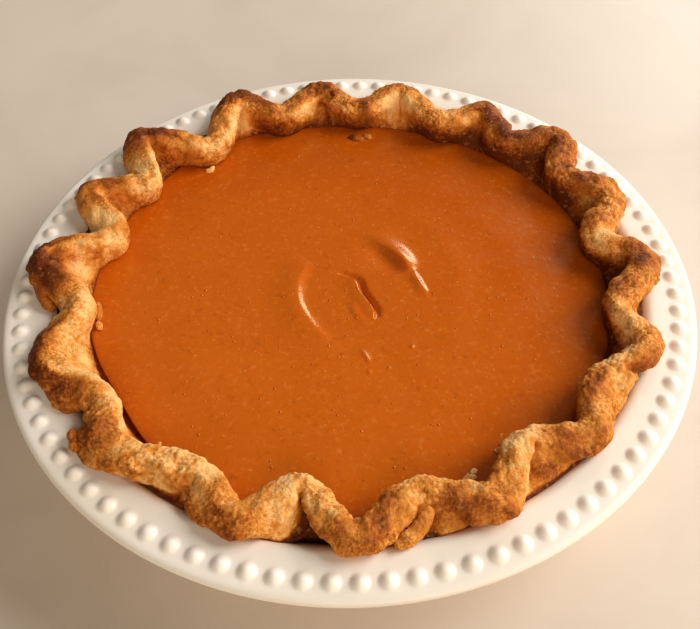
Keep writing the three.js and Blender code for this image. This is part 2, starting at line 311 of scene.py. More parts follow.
class Recipe:
    """A material under way: its nodes, and the Principled shader that they feed.

    Spots fade from a core, as a share of their reach, and are picked with a soft limit.
    """

    SPOT_CORE = 0.4
    PICK_SOFTNESS = 0.02

    def __init__(self, name: str) -> None:
        """Starts a material with a plain shader.

        Args:
            name: Name of the material.
        """
        self.material = bpy.data.materials.new(name)
        self.material.use_nodes = True
        self.nodes = self.material.node_tree.nodes
        self.shader = self.nodes["Principled BSDF"]
        self.place = self.node("ShaderNodeTexCoord").outputs["Object"]

    def node(self, kind: str, **inputs: Input) -> bpy.types.Node:
        """Adds a node.

        Args:
            kind: Blender's name for the node type.
            inputs: Values or sockets for its inputs, by name with _ for a space.

        Returns:
            The node.
        """
        node = self.nodes.new(kind)
        for name, value in inputs.items():
            self.feed(node.inputs[name.replace("_", " ")], value)
        return node

    def feed(self, socket: Socket, value: Input) -> None:
        """Sets an input to a value, or links it to a socket.

        Args:
            socket: The input.
            value: The value, or the socket that gives it.
        """
        if isinstance(value, Socket):
            self.material.node_tree.links.new(value, socket)
        else:
            socket.default_value = value

    def set(self, **inputs: Input) -> None:
        """Sets or links inputs of the shader, by name with _ for a space."""
        for name, value in inputs.items():
            self.feed(self.shader.inputs[name.replace("_", " ")], value)

    def attribute(self, name: str) -> Socket:
        """Value that the mesh keeps on its vertices.

        Args:
            name: Name that it is kept under.

        Returns:
            The value.
        """
        node = self.node("ShaderNodeAttribute")
        node.attribute_name = name
        return node.outputs["Fac"]

    def noise(self, size: float, detail: float = 2, roughness: float = 0.5, warp: float = 0) -> Socket:
        """Cloudy noise about 0.5.

        Args:
            size: Width of its features in millimetres.
            detail: Number of finer octaves.
            roughness: How strong those are.
            warp: How far it swirls.

        Returns:
            The noise value.
        """
        node = self.node(
            "ShaderNodeTexNoise", Vector=self.place, Scale=per_mm(size),
            Detail=detail, Roughness=roughness, Distortion=warp,
        )
        return node.outputs["Fac"]

    def roughen(self, size: float, detail: float, low: float, high: float) -> None:
        """Lets the shader's roughness wander between two values in patches of a size in millimetres."""
        self.set(Roughness=self.span(self.noise(size, detail), *NOISE_RANGE, (low, high)))

    def cells(self, size: float) -> bpy.types.Node:
        """Pattern of cells round scattered points, each about this many millimetres wide."""
        return self.node("ShaderNodeTexVoronoi", Vector=self.place, Scale=per_mm(size))

    def spots(self, size: float, share: float, reach: float, strength: float) -> Socket:
        """Round spots scattered over some of the cells of a pattern.

        Args:
            size: Width of a cell in millimetres.
            share: Share of the cells that hold a spot.
            reach: Radius of a spot as a share of a cell.
            strength: Value in the middle of a spot.

        Returns:
            The strength in a spot and 0 outside it.
        """
        cells = self.cells(size)
        pick = self.node("ShaderNodeSeparateColor", Color=cells.outputs["Color"]).outputs[0]
        chosen = self.span(pick, share, share - self.PICK_SOFTNESS)
        disk = self.span(cells.outputs["Distance"], reach, reach * self.SPOT_CORE)
        return self.maths("MULTIPLY", self.maths("MULTIPLY", chosen, disk), strength)

    def span(self, value: Input, low: float, high: float, to: Range = (0, 1)) -> Socket:
        """Maps a range of values to another and holds it there, smoothly unless the first one falls.

        Args:
            value: The value to map.
            low: Value that becomes the new range's start.
            high: Value that becomes its end.
            to: The new range.

        Returns:
            The mapped value.
        """
        node = self.nodes.new("ShaderNodeMapRange")
        node.interpolation_type = "SMOOTHSTEP" if low < high else "LINEAR"
        for socket, given in zip(node.inputs, (value, low, high, *to)):
            self.feed(socket, given)
        return node.outputs["Result"]

    def maths(self, operation: str, first: Input, second: Input) -> Socket:
        """Combines two values.

        Args:
            operation: Blender's name for the operation.
            first: The first value.
            second: The second value.

        Returns:
            The result.
        """
        node = self.nodes.new("ShaderNodeMath")
        node.operation = operation
        self.feed(node.inputs[0], first)
        self.feed(node.inputs[1], second)
        return node.outputs[0]

    def ramp(self, value: Socket, stops: Sequence[tuple[float, Colour]]) -> Socket:
        """Colour that runs through the stops as a value rises.

        Args:
            value: The value.
            stops: Positions from 0 to 1, rising, with their colours.

        Returns:
            The colour.
        """
        node = self.node("ShaderNodeValToRGB", Fac=value)
        elements = node.color_ramp.elements
        while len(elements) < len(stops):
            elements.new(1)
        for element, (position, colour) in zip(elements, stops):
            element.position = position
            element.color = (*colour, 1)
        return node.outputs["Color"]

    def blend(self, share: Input, first: Input, second: Input) -> Socket:
        """Mixes two colours.

        Args:
            share: Share of the second colour.
            first: The first colour, or a socket of it.
            second: The second colour, or a socket of it.

        Returns:
            The mixed colour.
        """
        node = self.nodes.new("ShaderNodeMix")
        node.data_type = "RGBA"
        for name, value in (("Factor", share), ("A", first), ("B", second)):
            sockets = [s for s in node.inputs if s.name == name and s.enabled]
            self.feed(sockets[0], (*value, 1) if isinstance(value, tuple) else value)
        return next(s for s in node.outputs if s.enabled)

    def bump(self, height: Socket, depth: float, under: Socket | None = None) -> Socket:
        """Fine relief in the shading.

        Args:
            height: Height from 0 to 1.
            depth: Depth of the full range in millimetres.
            under: Relief that it lies on.

        Returns:
            The normal.
        """
        node = self.node("ShaderNodeBump", Height=height, Distance=depth * MM)
        if under is not None:
            self.feed(node.inputs["Normal"], under)
        return node.outputs["Normal"]


@dataclass(frozen=True)
class CreamGlaze:
    """Glossy cream-white glaze over fired clay."""

    body: Colour = srgb(0xF8F0E3)
    pooled: Colour = srgb(0xEFE2CE)
    pool_size: float = 60
    pool_strength: float = 0.5
    speck: Colour = srgb(0xB9A487)
    speck_spacing: float = 9
    speck_strength: float = 0.35
    ripple_size: float = 7
    ripple_depth: float = 0.05
    roughness: Range = (0.42, 0.5)
    roughness_size: float = 25
    coat: float = 0.1
    coat_roughness: float = 0.2

    def material(self) -> bpy.types.Material:
        """Glaze that pools here and there, with a faint orange-peel ripple and a few iron specks.

        Returns:
            The material.
        """
        recipe = Recipe("cream_glaze")
        cloud = recipe.span(recipe.noise(self.pool_size, 3), 0.35, 0.7, (0, self.pool_strength))
        colour = recipe.blend(cloud, self.body, self.pooled)
        specks = recipe.spots(self.speck_spacing, 0.12, 0.03, self.speck_strength)
        colour = recipe.blend(specks, colour, self.speck)
        ripple = recipe.bump(recipe.noise(self.ripple_size, 1), self.ripple_depth)
        recipe.roughen(self.roughness_size, 2, *self.roughness)
        recipe.set(
            Base_Color=colour,
            Coat_Weight=self.coat,
            Coat_Roughness=self.coat_roughness,
            Normal=ripple,
        )
        return recipe.material


@dataclass(frozen=True)
class BakedPastry:
    """Baked dough, from cream through gold to toasted brown."""

    cream: Colour = (0.93, 0.53, 0.19)
    gold: Colour = (0.71, 0.26, 0.036)
    brown: Colour = (0.41, 0.105, 0.01)
    toasted: Colour = (0.13, 0.024, 0.002)
    gold_at: float = 0.32
    brown_at: float = 0.62
    mottle_size: float = 7
    mottle_swing: float = 0.1
    patch_size: float = 13
    grain_size: float = 1.1
    grain_swing: float = 0.22
    flour: Colour = (0.9, 0.48, 0.14)
    flour_size: float = 2.6
    flour_strength: float = 0.25
    scorch: Colour = (0.15, 0.03, 0.005)
    scorch_spacing: float = 2.6
    scorch_strength: float = 0.4
    crumb_depth: float = 0.65
    pit_size: float = 1.7
    pit_depth: float = 0.1
    roughness: Range = (0.5, 0.7)
    roughness_size: float = 3
    specular: float = 0.13

    def material(self) -> bpy.types.Material:
        """Dough that browns by the baking and painted shade kept on its vertices, mottled, speckled and
        pitted.

        Returns:
            The material.
        """
        recipe = Recipe("baked_pastry")
        swing = self.mottle_swing
        mottle = recipe.span(recipe.noise(self.mottle_size, 3, 0.55, 0.4), 0.36, 0.64, (-swing, swing))
        patch = recipe.span(recipe.noise(self.patch_size, 2), 0.42, 0.62, (0.25, 1))
        # The grain is paler where the crumb bump rises and browner in its hollows: partly the dough's grain
        # and partly painted shade.
        swing = self.grain_swing
        grain = recipe.span(recipe.noise(self.grain_size, 3, 0.65), *NOISE_RANGE, (swing, -swing))
        uneven = recipe.maths("ADD", mottle, recipe.maths("MULTIPLY", grain, patch))
        baked = recipe.maths("ADD", recipe.attribute("toast_and_shade"), uneven)
        stops = ((0, self.cream), (self.gold_at, self.gold), (self.brown_at, self.brown), (1, self.toasted))
        colour = recipe.ramp(baked, stops)
        dusting = recipe.span(recipe.noise(self.flour_size, 3), 0.58, 0.74)
        colour = recipe.blend(recipe.maths("MULTIPLY", dusting, self.flour_strength), colour, self.flour)
        dark = recipe.spots(self.scorch_spacing, 0.25, 0.24, self.scorch_strength)
        colour = recipe.blend(recipe.maths("MULTIPLY", dark, patch), colour, self.scorch)
        crumb = recipe.bump(recipe.noise(self.grain_size, 4, 0.6), self.crumb_depth)
        pits = recipe.span(recipe.cells(self.pit_size).outputs["Distance"], 0.1, 0.6)
        recipe.roughen(self.roughness_size, 2, *self.roughness)
        recipe.set(
            Base_Color=colour,
            Specular_IOR_Level=self.specular,
            Normal=recipe.bump(pits, self.pit_depth, crumb),
        )
        return recipe.material


@dataclass(frozen=True)
class BakedCustard:
    """Smooth sweet potato custard with a satin skin."""

    body: Colour = (0.59, 0.124, 0.006)
    deep: Colour = (0.56, 0.113, 0.004)
    cloud_size: float = 26
    # Colour towards the edge, for a darker baked edge and for painted shade near the crust and towards one
    # side.
    edge: Colour = (0.5, 0.088, 0.002)
    spice: Colour = (0.28, 0.05, 0.004)
    spice_spacing: float = 5
    spice_strength: float = 0.45
    fibre_size: float = 3.4
    fibre_strength: float = 0.45
    bubble: Colour = (0.86, 0.32, 0.06)
    pulp_size: float = 2.4
    pulp_strength: float = 0.22
    pore_spacing: float = 3.4
    pore_strength: float = 0.32
    pore_depth: float = 0.12
    skin_size: float = 2.2
    skin_depth: float = 0.1
    gleam: Colour = (0.75, 1, 0.5)
    roughness: Range = (0.17, 0.26)
    roughness_size: float = 9
    specular: float = 0.55

    def material(self) -> bpy.types.Material:
        """Custard that reddens towards its edge, by a darker baked edge and by painted shade, with spice
        specks and fine pores.

        Returns:
            The material.
        """
        recipe = Recipe("baked_custard")
        cloud = recipe.span(recipe.noise(self.cloud_size, 4, 0.55, 0.6), *NOISE_RANGE)
        colour = recipe.blend(cloud, self.deep, self.body)
        # The edge value kept on the vertices: a darker baked edge and painted shade.
        colour = recipe.blend(recipe.attribute("edge"), colour, self.edge)
        pulp = recipe.span(recipe.noise(self.pulp_size, 3, 0.6), 0.52, 0.78, (0, self.pulp_strength))
        colour = recipe.blend(pulp, colour, self.bubble)
        fibre = recipe.span(recipe.noise(self.fibre_size, 3, 0.6, 0.4), 0.55, 0.8, (0, self.fibre_strength))
        colour = recipe.blend(fibre, colour, self.spice)
        specks = recipe.spots(self.spice_spacing, 0.25, 0.09, self.spice_strength)
        colour = recipe.blend(specks, colour, self.spice)
        pores = recipe.spots(self.pore_spacing, 0.35, 0.17, self.pore_strength)
        colour = recipe.blend(pores, colour, self.bubble)
        skin = recipe.bump(recipe.noise(self.skin_size, 3), self.skin_depth)
        recipe.roughen(self.roughness_size, 3, *self.roughness)
        recipe.set(
            Base_Color=colour,
            Specular_IOR_Level=self.specular,
            Specular_Tint=(*self.gleam, 1),
            Normal=recipe.bump(pores, self.pore_depth, skin),
        )
        return recipe.material


@dataclass(frozen=True)
class PaleStone:
    """Plain pale floor of honed stone."""

    light: Colour = srgb(0xDED0C0)
    shade: Colour = srgb(0xD2C3B2)
    cloud_size: float = 180
    roughness: float = 0.5

    def material(self) -> bpy.types.Material:
        """Stone with a soft cloudy tone.

        Returns:
            The material.
        """
        recipe = Recipe("pale_stone")
        cloud = recipe.span(recipe.noise(self.cloud_size, 4, 0.55, 0.8), 0.35, 0.7)
        recipe.set(Base_Color=recipe.blend(cloud, self.light, self.shade), Roughness=self.roughness)
        return recipe.material


@dataclass
class Dish:
    """Wide-rimmed round dish with a ring of beads, as radii from its axis and heights from its base."""

    radius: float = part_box("dish")[1].y / MM
    solid_bead_rise: float = 2.6
    opening_radius: float = 120.7
    opening_round: float = 3
    floor_radius: float = 95
    floor_thickness: float = 6.5
    floor_round: float = 8
    wall_thickness: float = 6.5
    wall_ring_drop: float = 14
    rim_thickness: float = 4
    lip_round: float = 3
    foot_radius: float = 88
    foot_bevel: float = 1.2
    foot_top: float = 9
    rim_round: float = 3
    bead_count: int = 90
    bead_ring_radius: float = 132.6
    bead_radius: float = 3.6
    bead_rise: float = 1.8
    bead_softness: float = 1.4
    bead_margin: float = 0.5
    bead_phase: float = 2.6
    steps_per_bead: int = 15
    bead_rows: int = 14
    under_rows: int = 5
    top_rows: int = 6
    floor_rows: int = 3
    height: float = field(init=False)

    def __post_init__(self) -> None:
        """Finds the height of the rim's flat top."""
        self.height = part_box("dish")[1].z / MM - self.solid_bead_rise

    def wall(self, height: float) -> float:
        """Radius of the sloping inner wall at a height from the base."""
        slope = (self.opening_radius - self.floor_radius) / (self.height - self.floor_thickness)
        return self.floor_radius + (height - self.floor_thickness) * slope

    def profile(self) -> list[Sequence[float]]:
        """Half section of the dish.

        Returns:
            Radius and height of its points, from the middle of the base, round the rim, to the middle of
            the floor.
        """
        under = self.height - self.rim_thickness
        outer_top = under - self.rim_round
        lip = self.radius - self.lip_round
        lip_middle = self.height - self.rim_thickness / 2
        wall_heights = np.linspace(self.foot_top, outer_top, self.under_rows)[1:-1]
        opening_foot = self.height - self.opening_round
        thick = self.wall_thickness
        floor = self.floor_thickness
        ring_height = self.height - self.wall_ring_drop
        half_band = self.bead_radius + self.bead_margin
        shares = [1 - 2 * i / self.bead_rows for i in range(self.bead_rows + 1)]
        band = [self.bead_ring_radius + half_band * share for share in shares]
        return [
            (0, 0), (self.foot_radius, 0),
            *bend(
                (self.foot_radius + self.foot_bevel, self.foot_bevel),
                (self.wall(self.foot_bevel) + thick, self.foot_bevel),
                (self.wall(self.foot_top) + thick, self.foot_top), self.under_rows,
            ),
            *[(self.wall(height) + thick, height) for height in wall_heights],
            *bend(
                (self.wall(outer_top) + thick, outer_top), (self.wall(under) + thick, under),
                (self.wall(self.height) + thick, under), self.under_rows,
            ),
            *bend((lip, under), (self.radius, under), (self.radius, lip_middle), self.under_rows),
            *bend(
                (self.radius, lip_middle), (self.radius, self.height), (band[0], self.height), self.top_rows,
            )[1:-1],
            *[(radius, self.height) for radius in band],
            *bend(
                (self.opening_radius + self.opening_round, self.height), (self.opening_radius, self.height),
                (self.wall(opening_foot), opening_foot), self.top_rows,
            ),
            (self.wall(ring_height), ring_height),
            *bend(
                (self.wall(floor + self.floor_round), floor + self.floor_round), (self.floor_radius, floor),
                (self.floor_radius - self.floor_round, floor), self.floor_rows,
            ),
            (0, floor),
        ]

    def bead_relief(self, azimuth: Array, radius: Array) -> Array:
        """Height of the beads over the rim.

        Args:
            azimuth: Azimuths in radians.
            radius: Radii from the axis, in the same shape.

        Returns:
            The heights.
        """
        pitch = TURN / self.bead_count
        turn = (azimuth - math.radians(self.bead_phase) + pitch / 2) % pitch - pitch / 2
        gap = np.hypot(radius - self.bead_ring_radius, radius * np.sin(turn)) / self.bead_radius
        return self.bead_rise * np.clip(1 - gap**2, 0, 1) ** self.bead_softness

    def build(self) -> bmesh.types.BMesh:
        """Mesh of the dish with its beads moulded into the rim.

        Returns:
            The closed mesh.
        """
        steps = self.bead_count * self.steps_per_bead
        section = section_of([tuple(point) for point in self.profile()], steps)
        turns = np.broadcast_to(azimuths(steps)[:, None], section.shape[:2])
        on_top = section[..., 1] > self.height - WELD
        section[..., 1] += np.where(on_top, self.bead_relief(turns, section[..., 0]), 0)
        return wrapped_skin(section)

    def dress(self) -> bpy.types.Object:
        """Glazed dish in place of its solid."""
        piece = place(self.build(), "glazed_dish", CreamGlaze().material(), Slot.GLAZE)
        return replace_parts(piece, "dish")


@dataclass(frozen=True)
class Flute:
    """One pinch of the rope outwards and the dip inwards that follows it.

    The azimuth is the pinch's, the radii are the rope's middle at the pinch and at the dip, top is the
    pinch's height, and dip_at is where the dip lies on the way to the next pinch.
    """

    azimuth: float
    pinch: float
    dip: float
    top: float
    bake: Bake = Bake.BROWNED
    spread: Spread = Spread.CROWN
    dip_bake: Bake = Bake.GOLDEN
    dip_at: float = 0.5


@dataclass
class Rope:
    """Line of the rope of dough, pinched outwards at each flute and dipping inwards between them."""

    half: float = 6.6
    dip_top: float = 9
    span: float = 4.5
    taps: int = 41
    flutes: tuple[Flute, ...] = (
        Flute(1, 121.5, 106, 10, Bake.BROWNED, dip_at=0.4),
        Flute(20, 122.5, 113, 10, Bake.BROWNED, Spread.ALL_OVER, Bake.AMBER, 0.6),
        Flute(38, 126.5, 111, 11.5, Bake.BROWNED, Spread.ALL_OVER, Bake.AMBER, 0.54),
        Flute(56.5, 121, 106.5, 10, dip_at=0.38),
        Flute(77, 120.5, 108, 10.5),
        Flute(96, 120.5, 108, 10.5, dip_bake=Bake.AMBER),
        Flute(115, 122.5, 104, 12.5, Bake.TOASTED),
        Flute(139, 127, 107, 13.5, Bake.TOASTED),
        Flute(156, 123.5, 103, 11, Bake.BROWNED, Spread.CROWN, Bake.PALE, 0.53),
        Flute(176, 126, 109.5, 12, Bake.TOASTED, Spread.RIDGE, Bake.PALE),
        Flute(201, 123.2, 111.5, 10, Bake.TOASTED, Spread.FLANK, Bake.GOLDEN, 0.64),
        Flute(222.5, 119, 109, 9.5, Bake.AMBER, Spread.ALL_OVER, Bake.PALE, 0.64),
        Flute(250.3, 118.2, 103.8, 9, Bake.AMBER, Spread.ALL_OVER, Bake.PALE),
        Flute(270, 119, 106.8, 9, Bake.AMBER, Spread.ALL_OVER, Bake.AMBER),
        Flute(294, 116.8, 104.8, 9, Bake.AMBER, Spread.ALL_OVER, Bake.GOLDEN, 0.53),
        Flute(316, 117.2, 109.8, 9, Bake.BROWNED, Spread.ALL_OVER, Bake.AMBER, 0.4),
        Flute(340, 120.5, 107.6, 9, Bake.AMBER, Spread.ALL_OVER, Bake.GOLDEN, 0.36),
    )
    turns: Array = field(init=False)

    def __post_init__(self) -> None:
        """Lists pinches and dips in turn, with the values of each, and closes the round."""
        turns = []
        for flute, after in zip(self.flutes, self.flutes[1:] + self.flutes[:1]):
            middle = flute.azimuth + (after.azimuth - flute.azimuth) % 360 * flute.dip_at
            turns.append((flute.azimuth, flute.pinch, flute.top, flute.bake.value, flute.spread.value))
            turns.append((middle, flute.dip, self.dip_top, flute.dip_bake.value, Spread.CROWN.value))
        turns.append((turns[0][0] + 360, *turns[0][1:]))
        self.turns = np.array(turns)

    def line(self, azimuth: Array) -> Array:
        """The rope's middle line.

        Args:
            azimuth: Azimuths in radians.

        Returns:
            Its radius, top height, baking and the baking's spread there, one after the other.
        """
        first = self.turns[0, 0]
        degrees = (np.degrees(azimuth) - first) % 360 + first
        at = np.searchsorted(self.turns[:, 0], degrees, side="right") - 1
        start, end = self.turns[at], self.turns[at + 1]
        share = (degrees - start[..., 0]) / (end[..., 0] - start[..., 0])
        found = lerp(start, end, ((1 - np.cos(np.pi * share)) / 2)[..., None])
        return np.moveaxis(found[..., 1:], -1, 0)

    def reach(self, azimuth: Array, half: Values, side: Side) -> Array:
        """Radius of a face of the rope where it is this thick.

        Args:
            azimuth: Azimuths in radians.
            half: Half thickness of the rope.
            side: Which face.

        Returns:
            The radii, as the outline that a disk leaves when it follows the line.
        """
        turns = np.radians(np.linspace(-self.span, self.span, self.taps))
        turns[self.taps // 2] = 0  # the middle one lies exactly on the line
        radius = self.line(azimuth[:, None] + turns)[0]
        rest = np.broadcast_to(half, azimuth.shape)[:, None] ** 2 - (radius * np.sin(turns)) ** 2
        face = side.value * radius * np.cos(turns) + np.sqrt(np.maximum(rest, 0))
        return side.value * np.where(rest >= 0, face, -np.inf).max(axis=1)


@dataclass(frozen=True)
class Crease:
    """A groove in the dough along a path of azimuth, radius and height, wide at its first and last ends."""

    path: tuple[Spot, ...]
    depth: float
    first_width: float
    last_width: float

    def carve(self, points: Array) -> Array:
        """Depth of the groove.

        Args:
            points: Places in millimetres, with x, y and z last.

        Returns:
            The depth at each place.
        """
        away, _, along = nearest_on_path(points, [polar(*corner) for corner in self.path])
        gap = np.linalg.norm(away, axis=-1)
        return self.depth * np.exp(-((gap / lerp(self.first_width, self.last_width, along)) ** 2))


@dataclass(frozen=True)
class BakeAndShadeSpot:
    """A place, by azimuth, radius and height, that is darker or paler than the rope round it: some spots are
    real browning, others painted shade in hollows and painted light on shaded walls.
    """

    place: Spot
    reach: float
    amount: float

    def tone(self, points: Array) -> Array:
        """Change of browning that it adds at each point, which stands for real browning at some spots and for
        painted shade and light at others.
        """
        gap = np.linalg.norm(points - np.array(polar(*self.place)), axis=-1)
        return self.amount * np.exp(-((gap / self.reach) ** 2))


@dataclass(frozen=True)
class DoughRelief:
    """Lumps, knobs, crags and cracks of baked dough, as sizes and depths."""

    lump: Mark = (13, 1)
    knob: Mark = (5.2, 1.4)
    crag: Mark = (2.2, 1.1)
    grain: Mark = (1.2, 0.4)
    crack: Mark = (9, 0.6)
    crack_width: float = 0.08
    crack_warp: float = 0.35
    crack_share: float = 0.25
    patch: float = 15
    patch_middle: float = 0.6
    patch_swing: float = 0.9
    patch_least: float = 0.2

    def broad(self, point: Vector) -> float:
        """Height of the lumps and knobs at a point, along the surface's normal."""
        return sum(amount * noise.noise(point / size) for size, amount in (self.lump, self.knob))

    def fine(self, point: Vector) -> float:
        """Height of the crags, grains and cracks at a point, along the surface's normal.

        Args:
            point: Place in millimetres.

        Returns:
            The height.
        """
        rough = self.patch_middle + self.patch_swing * noise.noise(point / self.patch)
        rough = min(max(rough, self.patch_least), 1)
        size, amount = self.grain
        height = rough * amount * noise.noise(point / size)
        size, amount = self.crag
        height += rough * amount * (0.5 - noise.voronoi(point / size)[0][0])
        size, amount = self.crack
        warped = point / size + self.crack_warp * noise.noise_vector(point / self.knob[0])
        first, second = noise.voronoi(warped)[0][:2]
        open_share = max(0.0, noise.noise(point / (2 * size)) + self.crack_share)
        return height - amount * open_share * math.exp(-(((second - first) / self.crack_width) ** 2))

    def depth(self, point: Vector) -> float:
        """Height of the whole relief at a point, along the surface's normal."""
        return self.broad(point) + self.fine(point)


@dataclass(frozen=True)
class Skirt:
    """A stretch of the rope's foot, by its azimuth and span, that spreads outwards to a radius."""

    azimuth: float
    span: float
    radius: float


@dataclass(frozen=True)
class Squeeze:
    """A stretch of the rope, by its azimuth and span, and the share of its thickness that it lost there."""

    azimuth: float
    span: float
    loss: float


@dataclass(frozen=True)
class RopeRun:
    """Measures of the rope at each azimuth round the pie.

    They are the radius of its middle line, its top height and half thickness, the radius and height of
    its outer foot, and how far that is tucked into the dish, from 0 to 1.
    """

    azimuth: Array
    line: Array
    top: Array
    half: Array
    foot: Array
    foot_height: Array
    tucked: Array


@dataclass(frozen=True)
class Row:
    """One row round the crust: its radius and height, how far out across the rope, and its relief."""

    radius: Values
    height: Values
    across: float
    relief: float


